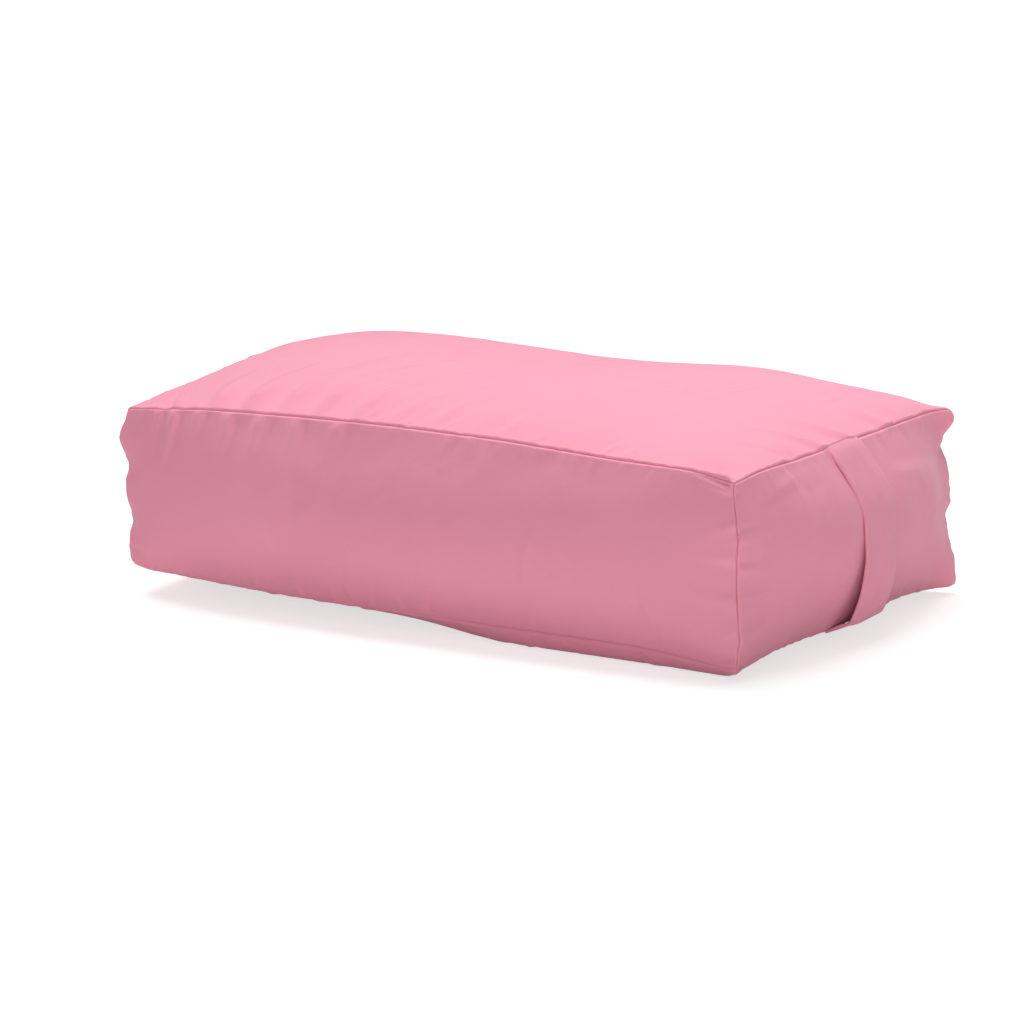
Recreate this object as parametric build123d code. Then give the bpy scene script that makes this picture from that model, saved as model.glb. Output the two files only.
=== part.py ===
"""Rectangular yoga bolster: a six-sided sewn cover over a lined, layered filling.

The origin is the middle of the face it rests on, +Z is up and +X runs along the
length towards the end that carries the strap handle. The long back side (+Y) is cut
in two strips with a coil zip between them. Millimetres throughout.

Cover, liner and filling are nested "pillows". A pillow is six curved patches whose
corners, edge middles and face middles are set at one inset from the cover's outside,
so two pillows at different insets bound a sheet of even thickness.
"""

import os

from build123d import *

# ---- driving dimensions ----
LENGTH = 600.0  # corner seam to corner seam, along X
WIDTH = 360.0  # corner seam to corner seam, along Y
BOXING = 150.0  # height of the side panels, bottom seam to top seam
SEAM_LIFT = 13.0  # bottom corners above the floor
TOP_CROWN = 20.0  # top middle above the middle of its long seams
BELLY = 5.0  # how far the bottom would sag below the floor if the floor let it
LONG_SEAM_RISE = 8.0  # top long seam, middle above its corners
SHORT_SEAM_RISE = 3.0
BOTTOM_SEAM_DROP = 3.0  # bottom seams, middle below their corners
FRONT_BULGE = 15.0
END_BULGE = 24.0
STRIP_BULGE = 6.0  # each strip beside the zip

COVER = 1.0  # cotton twill thickness
LINER_INSET = 5.2
LINER = 0.8
FILLING_GAP = 0.2  # between the liner and the fibre
THREAD_INSET = 3.0
THREAD_RADIUS = 0.4
THREAD_END = 0.01  # share of a seam left bare of thread at each corner

FOAM_MARGIN = 24.0  # fibre around the foam slab
FOAM_BOTTOM = 42.0
FOAM_TOP = 128.0
FOAM_EDGE_RADIUS = 6.0

STRAP_WIDTH = 56.0
STRAP_THICKNESS = 2.4
STRAP_REACH = 37.0  # strap's middle beyond the end seam, where it stands off furthest
STRAP_SHOULDER = 24.0  # height over which its upper part leans out from the top seam
STRAP_KNEE_Z = 38.0  # where it starts to turn back under
STRAP_TUCK = 24.0  # beyond the end seam where it turns in to the bottom seam
STRAP_LOW_Z = 11.0
STRAP_BENDS = [60.0, 90.0, 70.0, 18.0]  # bend radii from the top seam downwards

ZIP_OPENING = 13.0  # between the folded edges of the two strips
TAPE_WIDTH = 14.0
TAPE = 0.7
TAPE_GAP = 1.6  # between the two tapes' coil edges
COIL_WIDTH = 2.6
COIL_HEIGHT = 2.2
STOP_LENGTH = 4.0
STOP_ROUND = 0.6
SMALL_GAP = 0.1  # parts that lie against each other
STOP_GAP = 0.5  # slider to stop when closed
TAPE_END_GAP = 0.4
STOP_CENTRE = 272.0  # stops from the middle of the zip
SLIDER_LENGTH = 13.0
SLIDER_HALF_WIDTH = 4.75
SLIDER_WALL = 1.1
SLIDER_ROUND = 2.5  # corner radius of both wings
RUNNING = 0.3  # clearance round the coil and tape inside the slider
POST_WIDTH = 1.0
POST_LENGTH = 3.5
BAIL_HEIGHT = 2.4
BAIL_WALL = 1.2
BAIL_WIDTH = 2.0
BAIL_HALF_LENGTH = 4.2
BAIL_ROUND = 1.0
PULL_LENGTH = 27.0
PULL_WIDTH = 8.0
PULL_THICKNESS = 1.4
PULL_WINDOW = 5.6  # clear length of the window that the bail passes through
PULL_SIDE_GAP = 0.5  # bail to window on each side
PULL_FLAT = 1.0  # straight part left at the tab's rounded end

LABEL_WIDTH = 32.0
LABEL_DROP = 40.0
LABEL_SEWN = 4.0  # overlap with the tape
LABEL_THICKNESS = 0.5
LABEL_X = -194.0

# ---- worked-out values ----
FILL_INSET = LINER_INSET + LINER + FILLING_GAP
Z_LOW = SEAM_LIFT
Z_HIGH = SEAM_LIFT + BOXING
Z_MID = (Z_LOW + Z_HIGH) / 2
ZIP_Z = Z_MID
TAPE_OUTER = WIDTH / 2 - COVER - SMALL_GAP  # the tape lies just behind the strips
TAPE_INNER = TAPE_OUTER - TAPE
COIL_OUTER = TAPE_OUTER + COIL_HEIGHT
WING_INNER = COIL_OUTER + RUNNING
WING_OUTER = WING_INNER + SLIDER_WALL
PULL_AXIS_Y = WING_OUTER + BAIL_HEIGHT / 2
SLIDER_REST_X = STOP_CENTRE - STOP_LENGTH / 2 - SLIDER_LENGTH / 2 - STOP_GAP
CHAIN_HALF_WIDTH = TAPE_GAP / 2 + COIL_WIDTH


def save(shape, node):
    """Writes one sub-part's STEP file."""
    export_step(shape, f"parts/{node}.step")


def middle(a, b):
    return (a + b) / 2


# ---- the pillow's shape at one inset ----
def corner(sx, sy, sz, inset):
    z = Z_HIGH - inset if sz > 0 else Z_LOW + inset
    return Vector(sx * (LENGTH / 2 - inset), sy * (WIDTH / 2 - inset), z)


def edge_middle(a, b):
    """The point that the seam between corners a and b passes through half way."""
    rise = 0.0
    if a.Z > Z_MID and b.Z > Z_MID:
        rise = LONG_SEAM_RISE if a.Y == b.Y else SHORT_SEAM_RISE
    elif a.Z < Z_MID and b.Z < Z_MID:
        rise = -BOTTOM_SEAM_DROP
    return middle(a, b) + Vector(0, 0, rise)


def edge_control(a, b):
    """Middle control point of the quadratic curve from a to b through its middle."""
    return edge_middle(a, b) * 2 - middle(a, b)


def patch_from(corners, controls, through):
    """3 by 3 control net from four corners in order, their edge controls, and a point."""
    net_sum = controls[0] + controls[1] + controls[2] + controls[3]
    corner_sum = corners[0] + corners[1] + corners[2] + corners[3]
    centre = through * 4 - net_sum / 2 - corner_sum / 4
    return [
        [corners[0], controls[0], corners[1]],
        [controls[3], centre, controls[1]],
        [corners[3], controls[2], corners[2]],
    ]


def quad_net(a, b, c, d, through):
    """The net of the patch with corners a, b, c, d in order."""
    pairs = ((a, b), (b, c), (c, d), (d, a))
    return patch_from([a, b, c, d], [edge_control(p, q) for p, q in pairs], through)


def face_net(side, inset):
    """The control net of one side of the pillow at an inset."""
    half_x, half_y = LENGTH / 2 - inset, WIDTH / 2 - inset
    through = {
        "top": Vector(0, 0, Z_HIGH + LONG_SEAM_RISE + TOP_CROWN - inset),
        "bottom": Vector(0, 0, inset - BELLY),
        "front": Vector(0, -half_y - FRONT_BULGE, Z_MID),
        "back": Vector(0, half_y, Z_MID),
        "left": Vector(-half_x - END_BULGE, 0, Z_MID),
        "right": Vector(half_x + END_BULGE, 0, Z_MID),
    }[side]
    axis, sign = {
        "top": (2, 1),
        "bottom": (2, -1),
        "front": (1, -1),
        "back": (1, 1),
        "left": (0, -1),
        "right": (0, 1),
    }[side]
    ring = [(-1, -1), (1, -1), (1, 1), (-1, 1)]
    signs = [pair[:axis] + (sign,) + pair[axis:] for pair in ring]
    return quad_net(*[corner(*s, inset) for s in signs], through)


def sheet_between(outer_net, inner_net):
    """The solid between two nets of the same patch, closed by ruled sides."""

    def side_line(net, k):
        rows = (net[0], [r[-1] for r in net], net[-1], [r[0] for r in net])
        return rows[k]

    faces = [Face.make_bezier_surface(net) for net in (outer_net, inner_net)]
    for k in range(4):
        rule = [side_line(outer_net, k), side_line(inner_net, k)]
        faces.append(Face.make_bezier_surface(rule))
    solid = Solid(Shell(faces))
    return solid if solid.volume > 0 else Solid(solid.wrapped.Reversed())


def panel(side, inset, thickness):
    return sheet_between(face_net(side, inset), face_net(side, inset + thickness))


def pillow(inset):
    """The whole closed pillow at an inset, before the floor flattens it."""
    sides = ("top", "bottom", "front", "back", "left", "right")
    return Solid(Shell([Face.make_bezier_surface(face_net(s, inset)) for s in sides]))


def block(x0, x1, y0, y1, z0, z1):
    """A box from its limits."""
    size = (x1 - x0, y1 - y0, z1 - z0)
    centre = Location(((x0 + x1) / 2, (y0 + y1) / 2, (z0 + z1) / 2))
    return centre * Box(*size)


def room_above(z):
    return block(-LENGTH, LENGTH, -WIDTH, WIDTH, z, 3 * BOXING)


def floor_panel(inset, thickness):
    """A bottom panel: its border is curved and its middle lies flat on the floor."""
    border = panel("bottom", inset, thickness) & room_above(inset)
    slab = block(-LENGTH, LENGTH, -WIDTH, WIDTH, inset, inset + thickness)
    flat = pillow(inset) & slab
    return (border + flat).solid()


# ---- cover ----
def zip_strip(side_sign, inset):
    """The net of the strip above (+1) or below (-1) the zip, at an inset."""
    left, right = (corner(sx, 1, side_sign, inset) for sx in (-1, 1))
    edge_z = ZIP_Z + side_sign * ZIP_OPENING / 2
    low_left = Vector(left.X, left.Y, edge_z)
    low_right = Vector(right.X, right.Y, edge_z)
    seam = edge_control(left, right)
    straight = [middle(right, low_right), middle(low_left, low_right), middle(left, low_left)]
    through = middle(middle(left, right), straight[1]) + Vector(0, STRIP_BULGE, 0)
    return patch_from([left, right, low_right, low_left], [seam, *straight], through)


def make_cover():
    for side, node in (
        ("top", "cover_top_panel"),
        ("front", "cover_front_panel"),
        ("right", "cover_handle_end_panel"),
        ("left", "cover_plain_end_panel"),
    ):
        save(panel(side, 0, COVER), node)
    save(floor_panel(0, COVER), "cover_bottom_panel")
    for sign, node in ((1, "cover_back_upper_strip"), (-1, "cover_back_lower_strip")):
        save(sheet_between(zip_strip(sign, 0), zip_strip(sign, COVER)), node)


def seam_thread(a, b):
    """The thread line of one seam, which stops short of the corners it joins."""
    start, end = a + (b - a) * THREAD_END, b + (a - b) * THREAD_END
    through = edge_middle(a, b)
    bowed = through != middle(a, b)
    line = Edge.make_three_point_arc(start, through, end) if bowed else Edge.make_line(start, end)
    profile = Plane(line @ 0, z_dir=line % 0) * Circle(THREAD_RADIUS)
    return sweep(profile, path=line).solid()


def make_threads():
    ring = [(-1, -1), (1, -1), (1, 1), (-1, 1)]
    for sz, node in ((1, "thread_top_seam"), (-1, "thread_bottom_seam")):
        points = [corner(sx, sy, sz, THREAD_INSET) for sx, sy in ring]
        loops = [seam_thread(points[k], points[(k + 1) % 4]) for k in range(4)]
        save(Compound(children=loops), node)
    uprights = [
        seam_thread(corner(sx, sy, -1, THREAD_INSET), corner(sx, sy, 1, THREAD_INSET))
        for sx, sy in ring
    ]
    save(Compound(children=uprights), "thread_corner_seams")


# ---- liner and filling ----
def make_liner():
    save(panel("top", LINER_INSET, LINER), "liner_top_panel")
    save(floor_panel(LINER_INSET, LINER), "liner_bottom_panel")
    for side in ("front", "back", "left", "right"):
        save(panel(side, LINER_INSET, LINER), f"liner_{side}_panel")


def make_filling():
    """A foam slab wrapped in fibre: layers under and over it, and a ring round it."""
    inside = pillow(FILL_INSET) & room_above(FILL_INSET)
    reach = (-LENGTH, LENGTH, -WIDTH, WIDTH)
    save((inside & block(*reach, 0, FOAM_BOTTOM)).solid(), "fibre_bottom_layer")
    save((inside & block(*reach, FOAM_TOP, 3 * BOXING)).solid(), "fibre_top_layer")
    foam_x, foam_y = LENGTH / 2 - FOAM_MARGIN, WIDTH / 2 - FOAM_MARGIN
    slab = block(-foam_x, foam_x, -foam_y, foam_y, FOAM_BOTTOM, FOAM_TOP)
    slab = fillet(slab.edges().filter_by(Axis.Z), FOAM_EDGE_RADIUS)
    ring = (inside & block(*reach, FOAM_BOTTOM, FOAM_TOP)) - slab
    save(slab, "foam_core")
    save(ring.solid(), "fibre_side_wrap")


# ---- handle ----
def make_handle():
    """A flat strap from the top seam to the bottom seam, standing off the end panel."""
    seam_x = LENGTH / 2
    reach_x = seam_x + STRAP_REACH
    points = [
        (seam_x - COVER, 0, Z_HIGH + SHORT_SEAM_RISE - COVER - STRAP_THICKNESS),
        (seam_x + 2 * STRAP_REACH / 3, 0, Z_HIGH - STRAP_SHOULDER),
        (reach_x, 0, Z_MID + STRAP_SHOULDER / 3),
        (reach_x, 0, STRAP_KNEE_Z),
        (seam_x + STRAP_TUCK, 0, STRAP_LOW_Z),
        (seam_x - 2 * COVER, 0, STRAP_LOW_Z),
    ]
    path = FilletPolyline(*points, radius=STRAP_BENDS)
    plane = Plane(path @ 0, x_dir=(0, 1, 0), z_dir=path % 0)
    strap = sweep(plane * Rectangle(STRAP_WIDTH, STRAP_THICKNESS), path=path)
    trimmed = strap - pillow(0)
    save(max(trimmed.solids(), key=lambda s: s.volume), "handle_strap")


# ---- zip ----
def ordered(a, b):
    return (a, b) if a < b else (b, a)


def make_zip_chain():
    """Two tapes with a coil along each inner edge, and a stop at each end."""
    tape_end = LENGTH / 2 - COVER - TAPE_END_GAP
    coil_end = STOP_CENTRE - STOP_LENGTH / 2 - SMALL_GAP
    for sign, half in ((1, "upper"), (-1, "lower")):
        inner_edge = ZIP_Z + sign * TAPE_GAP / 2
        tape_z = ordered(inner_edge, inner_edge + sign * TAPE_WIDTH)
        tape = block(-tape_end, tape_end, TAPE_INNER, TAPE_OUTER, *tape_z)
        save(tape, f"zip_tape_{half}")
        coil_z = ordered(inner_edge, inner_edge + sign * COIL_WIDTH)
        coil = block(-coil_end, coil_end, TAPE_OUTER, COIL_OUTER, *coil_z)
        rounded = coil.edges().filter_by(Axis.X).group_by(Axis.Y)[-1]
        save(fillet(rounded, COIL_HEIGHT / 3), f"zip_coil_{half}")
    stop_z = (ZIP_Z - CHAIN_HALF_WIDTH, ZIP_Z + CHAIN_HALF_WIDTH)
    for x, node in ((STOP_CENTRE, "zip_top_stop"), (-STOP_CENTRE, "zip_bottom_stop")):
        stop_x = (x - STOP_LENGTH / 2, x + STOP_LENGTH / 2)
        stop = block(*stop_x, TAPE_OUTER, COIL_OUTER, *stop_z)
        save(fillet(stop.edges().group_by(Axis.Y)[-1], STOP_ROUND), node)


def slider_wing(y0, y1):
    half = SLIDER_LENGTH / 2
    z = (ZIP_Z - SLIDER_HALF_WIDTH, ZIP_Z + SLIDER_HALF_WIDTH)
    wing = block(SLIDER_REST_X - half, SLIDER_REST_X + half, y0, y1, *z)
    return fillet(wing.edges().filter_by(Axis.Y), SLIDER_ROUND)


def slider_bail():
    """The bridge on the outer wing that the pull's crossbar turns under."""
    z = (ZIP_Z - BAIL_WIDTH / 2, ZIP_Z + BAIL_WIDTH / 2)
    foot_inner = BAIL_HALF_LENGTH - BAIL_WALL
    clear_y = WING_OUTER + BAIL_HEIGHT
    outer_x = (SLIDER_REST_X - BAIL_HALF_LENGTH, SLIDER_REST_X + BAIL_HALF_LENGTH)
    inner_x = (SLIDER_REST_X - foot_inner, SLIDER_REST_X + foot_inner)
    arch = block(*outer_x, WING_OUTER, clear_y + BAIL_WALL, *z)
    arch = fillet(arch.edges().filter_by(Axis.Z).group_by(Axis.Y)[-1], BAIL_ROUND)
    return arch - block(*inner_x, WING_OUTER, clear_y, *z)


def make_slider():
    """Outer wing with side flanges, inner wing, the post between them and the bail."""
    x0 = SLIDER_REST_X - SLIDER_LENGTH / 2 + SLIDER_ROUND
    x1 = SLIDER_REST_X + SLIDER_LENGTH / 2 - SLIDER_ROUND
    inner_wing_outer = TAPE_INNER - RUNNING
    body = slider_wing(WING_INNER, WING_OUTER)
    body += slider_wing(inner_wing_outer - SLIDER_WALL, inner_wing_outer)
    post_z = (ZIP_Z - POST_WIDTH / 2, ZIP_Z + POST_WIDTH / 2)
    body += block(x0, x0 + POST_LENGTH, inner_wing_outer, WING_INNER, *post_z)
    flange_inner = CHAIN_HALF_WIDTH + RUNNING
    for sign in (-1, 1):
        flange_z = ordered(ZIP_Z + sign * flange_inner, ZIP_Z + sign * SLIDER_HALF_WIDTH)
        body += block(x0, x1, TAPE_OUTER + RUNNING, WING_INNER, *flange_z)
    save((body + slider_bail()).solid(), "zip_slider")


def make_pull():
    """A flat tab whose crossbar turns under the slider's bail."""
    bar_radius = PULL_THICKNESS / 2
    y0, y1 = PULL_AXIS_Y - bar_radius, PULL_AXIS_Y + bar_radius
    z0, z1 = ZIP_Z - PULL_WIDTH / 2, ZIP_Z + PULL_WIDTH / 2
    tab = block(SLIDER_REST_X - PULL_LENGTH, SLIDER_REST_X, y0, y1, z0, z1)
    far_edges = tab.edges().filter_by(Axis.Y).group_by(Axis.X)[0]
    tab = fillet(far_edges, (PULL_WIDTH - PULL_FLAT) / 2)
    window_half = BAIL_WIDTH / 2 + PULL_SIDE_GAP
    window_x = (SLIDER_REST_X - bar_radius - PULL_WINDOW, SLIDER_REST_X + bar_radius)
    tab -= block(*window_x, y0, y1, ZIP_Z - window_half, ZIP_Z + window_half)
    axis = Location((SLIDER_REST_X, PULL_AXIS_Y, ZIP_Z))
    tab += axis * Cylinder(bar_radius, PULL_WIDTH)
    save(tab.solid(), "zip_pull_tab")


def make_label():
    """The care label, sewn to the lower tape's edge and hanging inside the cover."""
    top = ZIP_Z - TAPE_GAP / 2 - TAPE_WIDTH + LABEL_SEWN
    x = (LABEL_X - LABEL_WIDTH / 2, LABEL_X + LABEL_WIDTH / 2)
    outer = TAPE_INNER - SMALL_GAP
    save(block(*x, outer - LABEL_THICKNESS, outer, top - LABEL_DROP, top), "care_label")


os.makedirs("parts", exist_ok=True)
make_cover()
make_threads()
make_liner()
make_filling()
make_handle()
make_zip_chain()
make_slider()
make_pull()
make_label()
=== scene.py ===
"""Looks of the rectangular yoga bolster: sewn cotton cover, strap handle, zip and filling.

The cover starts as the pillow that part.py describes, is blown up by a cloth simulation
with its seams drawn in, and is then resampled to fine grids, one for each panel, whose
edges roll into the seams. Metres throughout.
"""

import math
import random

import bmesh
import bpy
import numpy as np
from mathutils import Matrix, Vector, noise


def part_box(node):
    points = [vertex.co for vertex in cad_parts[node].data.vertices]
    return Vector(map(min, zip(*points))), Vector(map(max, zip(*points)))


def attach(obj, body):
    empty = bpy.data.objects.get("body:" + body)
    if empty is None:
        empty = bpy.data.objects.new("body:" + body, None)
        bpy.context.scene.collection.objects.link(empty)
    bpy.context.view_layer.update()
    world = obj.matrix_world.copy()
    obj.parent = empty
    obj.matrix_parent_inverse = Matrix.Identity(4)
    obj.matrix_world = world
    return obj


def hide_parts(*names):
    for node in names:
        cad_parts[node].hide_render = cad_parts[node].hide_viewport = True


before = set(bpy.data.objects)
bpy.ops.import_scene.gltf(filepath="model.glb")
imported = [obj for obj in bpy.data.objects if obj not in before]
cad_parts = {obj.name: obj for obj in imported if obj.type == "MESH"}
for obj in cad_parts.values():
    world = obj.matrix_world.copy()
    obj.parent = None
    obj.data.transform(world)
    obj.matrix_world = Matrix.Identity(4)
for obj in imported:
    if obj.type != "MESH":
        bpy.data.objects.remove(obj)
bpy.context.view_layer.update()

MM = 0.001

# ---- driving dimensions, as in part.py ----
LENGTH, WIDTH, BOXING = 600 * MM, 360 * MM, 150 * MM
SEAM_LIFT = 13 * MM
TOP_CROWN = 20 * MM
BELLY = 5 * MM
LONG_SEAM_RISE = 8 * MM
SHORT_SEAM_RISE = 3 * MM
BOTTOM_SEAM_DROP = 3 * MM
FRONT_BULGE = 15 * MM
END_BULGE = 24 * MM
COVER = 1.0 * MM
LINER_INSET, LINER = 5.2 * MM, 0.8 * MM
FILL_INSET, FIBRE_GAP = 6.2 * MM, 0.6 * MM
LINER_CELL, FIBRE_CELL = 6 * MM, 8 * MM
FIBRE_VOXEL, FOAM_VOXEL = 5 * MM, 6 * MM
FOAM_ROUND = 5 * MM
LABEL, LABEL_CURL = 0.4 * MM, 0.6 * MM
FOAM_MARGIN, FOAM_BOTTOM, FOAM_TOP = 24 * MM, 42 * MM, 128 * MM
ZIP_OPENING = 13 * MM
TAPE_WIDTH, TAPE, TAPE_GAP = 14 * MM, 0.7 * MM, 1.6 * MM
TAPE_END_GAP, TAPE_RIPPLE = 1.4 * MM, 0.12 * MM
STOP_CENTRE, STOP_REACH = 272 * MM, 2.1 * MM  # the coil ends this far short of a stop's centre
COIL_PITCH, COIL_REACH, COIL_DEPTH, COIL_LEAN = 1.25 * MM, 1.0 * MM, 0.8 * MM, 0.18 * MM
METAL_EDGE = 0.22 * MM  # how far the die castings' edges are softened
FILAMENT = 0.3 * MM  # radius of the coil's nylon
STRAP_WIDTH = 56 * MM
STRAP_THICKNESS = 2.4 * MM
STRAP_LIFT, STRAP_GAP = 1.6 * MM, 14 * MM  # the strap's clearance high up, and what is added low down
STRAP_CURL = 7 * MM  # radius at which it turns under
STRAP_KNEE = 0.07  # share of the end's height at which it starts to turn under
STRAP_TURN = math.radians(112)
STRAP_WAVE, STRAP_DENTS, STRAP_CUP = 0.9 * MM, 1.1 * MM, 1.2 * MM
STRAP_SLACK = 0.55  # share of the end's height below which it stands off

Z_LOW, Z_HIGH = SEAM_LIFT, SEAM_LIFT + BOXING
Z_MID = (Z_LOW + Z_HIGH) / 2
ZIP_Z = Z_MID

# ---- cloth simulation ----
SEED = 11
SIM_CELL = 6.0 * MM
SIM_FRAMES = 22
PIN_MARGIN = 40 * MM  # the bottom panel is held still further from its seams than this
SHAKE = 0.12 * MM  # random start that lets the cloth buckle
PANEL_SLACK, SEAM_GATHER = 0.012, 0.02
MOVE_CAP = 7 * MM
SMOOTHING, SEAM_SMOOTHING = 16, 6
CLOTH_SETTINGS = {
    "quality": 6,
    "mass": 0.25,
    "air_damping": 2,
    "tension_stiffness": 25,
    "compression_stiffness": 25,
    "shear_stiffness": 8,
    "bending_stiffness": 0.8,
    "tension_damping": 8,
    "compression_damping": 8,
    "shear_damping": 6,
    "bending_damping": 0.5,
    "use_pressure": True,
    "uniform_pressure_force": 3,
    "vertex_group_mass": "pin",
    "vertex_group_shrink": "seam",
    "shrink_min": -PANEL_SLACK,
    "shrink_max": SEAM_GATHER,
}

# ---- shaping ----
SEAM_BOW, SEAM_BOW_REACH = 4 * MM, 70 * MM  # extra rise of the long top seams between their corners
BOTTOM_ROLL = 15 * MM  # width over which the bottom panel turns from its seams to the floor
GENTLE_ROLL = 80 * MM  # added to it at the plain end
SLACK_END, SLACK_RUN = 0.66, 0.4  # shares of the length over which the gentle roll fades out
BOTTOM_BULGE, BULGE_REACH = 4 * MM, 1.6  # the bulge reaches this many times as far as the roll
ROLL_POWER = 1.3
TIGHT_CORNER = 35 * MM  # reach of the near bottom corner of the handle end
FOLD_STRENGTH = 2.0

# ---- panels, seams and hems ----
FINE_CELL = 2.3 * MM
LIP = 1.15 * MM  # radius of the rolled edge beside a seam
ROLL = math.radians(135)
LIP_START = (1 + math.sqrt(2)) * LIP  # distance from the seam at which the cloth starts to roll
RAIL = (1 + math.sqrt(0.5)) * LIP  # the seam line lies this far inside both surfaces
HEM_CELL = 2 * MM
HEM_ROUND, HEM_DEPTH = 0.9 * MM, 8 * MM
HEM_PLY = 0.6  # share of the cloth's thickness kept where it is folded double
CLOSE_START, CLOSE_RUN = 277 * MM, 14 * MM  # beyond the stops the two strips are sewn together
CLOSE_REACH, CLOSE_GAP = 14 * MM, 0.4 * MM
TAPE_FRONT = WIDTH / 2 - 1.1 * MM
THREAD_END, THREAD_INSET = 6 * MM, 2.2 * MM  # the seam threads stop short of corners and lie inside
SEAM_THREAD, SEAM_STITCH, SEAM_STITCH_SHARE = 0.3 * MM, 4 * MM, 0.95
STITCH_DIP = 0.2  # share of its lift by which a stitch sinks at both ends
TOPSTITCH_END, TOPSTITCH_INSET, TOPSTITCH_PROUD = 24 * MM, 5 * MM, 0.1 * MM
TOPSTITCH_THREAD, TOPSTITCH_LIFT = 0.28 * MM, 0.5 * MM
TOPSTITCH_PITCH, TOPSTITCH_SHARE = 3.0 * MM, 0.8
HEM_PLACE = {True: ZIP_Z + ZIP_OPENING / 2, False: ZIP_Z - ZIP_OPENING / 2}  # upper and lower strip

# ---- the six sides: along a, along b, outward; a x b points outward ----
SIDES = {
    "top": ((1, 0, 0), (0, 1, 0), (0, 0, 1)),
    "bottom": ((1, 0, 0), (0, -1, 0), (0, 0, -1)),
    "front": ((1, 0, 0), (0, 0, 1), (0, -1, 0)),
    "back": ((-1, 0, 0), (0, 0, 1), (0, 1, 0)),
    "right": ((0, 1, 0), (0, 0, 1), (1, 0, 0)),
    "left": ((0, -1, 0), (0, 0, 1), (-1, 0, 0)),
}
SPAN = np.array([LENGTH, WIDTH, BOXING])


def spans(side):
    """Nominal length of a side along a and along b."""
    a_dir, b_dir, _ = SIDES[side]
    return float(np.abs(a_dir) @ SPAN), float(np.abs(b_dir) @ SPAN)


def cube(side, a, b):
    """Points of the cube from -1 to 1 for the parameters a and b from 0 to 1."""
    a_dir, b_dir, out = (np.array(v, float) for v in SIDES[side])
    return out + (2 * a[..., None] - 1) * a_dir + (2 * b[..., None] - 1) * b_dir


# ---- the pillow, as in part.py ----
def pillow_corner(signs, inset):
    x, y, z = signs
    height = Z_HIGH - inset if z > 0 else Z_LOW + inset
    return np.array([x * (LENGTH / 2 - inset), y * (WIDTH / 2 - inset), height])


def pillow_edge(p, q):
    """Middle control point of the seam from corner p to corner q."""
    rise = 0.0
    if p[2] > Z_MID and q[2] > Z_MID:
        rise = LONG_SEAM_RISE if p[1] == q[1] else SHORT_SEAM_RISE
    elif p[2] < Z_MID and q[2] < Z_MID:
        rise = -BOTTOM_SEAM_DROP
    return (p + q) / 2 + np.array([0, 0, 2 * rise])


def pillow_net(side, inset):
    half_x, half_y = LENGTH / 2 - inset, WIDTH / 2 - inset
    through = {
        "top": (0, 0, Z_HIGH + LONG_SEAM_RISE + TOP_CROWN - inset),
        "bottom": (0, 0, inset - BELLY),
        "front": (0, -half_y - FRONT_BULGE, Z_MID),
        "back": (0, half_y, Z_MID),
        "left": (-half_x - END_BULGE, 0, Z_MID),
        "right": (half_x + END_BULGE, 0, Z_MID),
    }[side]
    ends = np.array([0.0, 1.0])
    signs = cube(side, *np.meshgrid(ends, ends, indexing="ij"))
    c = [[pillow_corner(signs[i, j], inset) for j in (0, 1)] for i in (0, 1)]
    e_a0, e_a1 = pillow_edge(c[0][0], c[1][0]), pillow_edge(c[0][1], c[1][1])
    e_b0, e_b1 = pillow_edge(c[0][0], c[0][1]), pillow_edge(c[1][0], c[1][1])
    corners = c[0][0] + c[0][1] + c[1][0] + c[1][1]
    centre = 4 * np.array(through) - (e_a0 + e_a1 + e_b0 + e_b1) / 2 - corners / 4
    return np.array([[c[0][0], e_b0, c[0][1]], [e_a0, centre, e_a1], [c[1][0], e_b1, c[1][1]]])


def bernstein(t):
    return np.stack([(1 - t) ** 2, 2 * t * (1 - t), t**2], axis=-1)


def pillow_points(side, a, b, inset):
    """The pillow's surface on the grid of a by b, flat where it meets the floor."""
    points = np.einsum("ip,jq,pqk->ijk", bernstein(a), bernstein(b), pillow_net(side, inset))
    points[..., 2] = np.maximum(points[..., 2], inset)
    return points


# ---- cloth simulation of the whole cover ----
def cell_counts():
    return [round(s / SIM_CELL) for s in SPAN]


def lattice(side):
    """Integer lattice positions of a side's grid, the same for a point that two sides share."""
    counts = np.array(cell_counts())
    a_dir, b_dir, _ = SIDES[side]
    n_a, n_b = int(np.abs(a_dir) @ counts), int(np.abs(b_dir) @ counts)
    a, b = np.meshgrid(np.linspace(0, 1, n_a + 1), np.linspace(0, 1, n_b + 1), indexing="ij")
    return np.rint((cube(side, a, b) + 1) / 2 * counts).astype(int)


def make_object(name, points, faces):
    mesh = bpy.data.meshes.new(name)
    mesh.from_pydata(np.asarray(points).tolist(), [], faces)
    mesh.update()
    return link_mesh(name, mesh)


def link_mesh(name, mesh):
    obj = bpy.data.objects.new("made_" + name, mesh)
    bpy.context.scene.collection.objects.link(obj)
    return obj


def grid_faces(ids, flip=False):
    """Quads of a grid of vertex numbers."""
    quads = np.stack([ids[:-1, :-1], ids[1:, :-1], ids[1:, 1:], ids[:-1, 1:]], axis=-1).reshape(-1, 4)
    return (quads[:, ::-1] if flip else quads).tolist()


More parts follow.
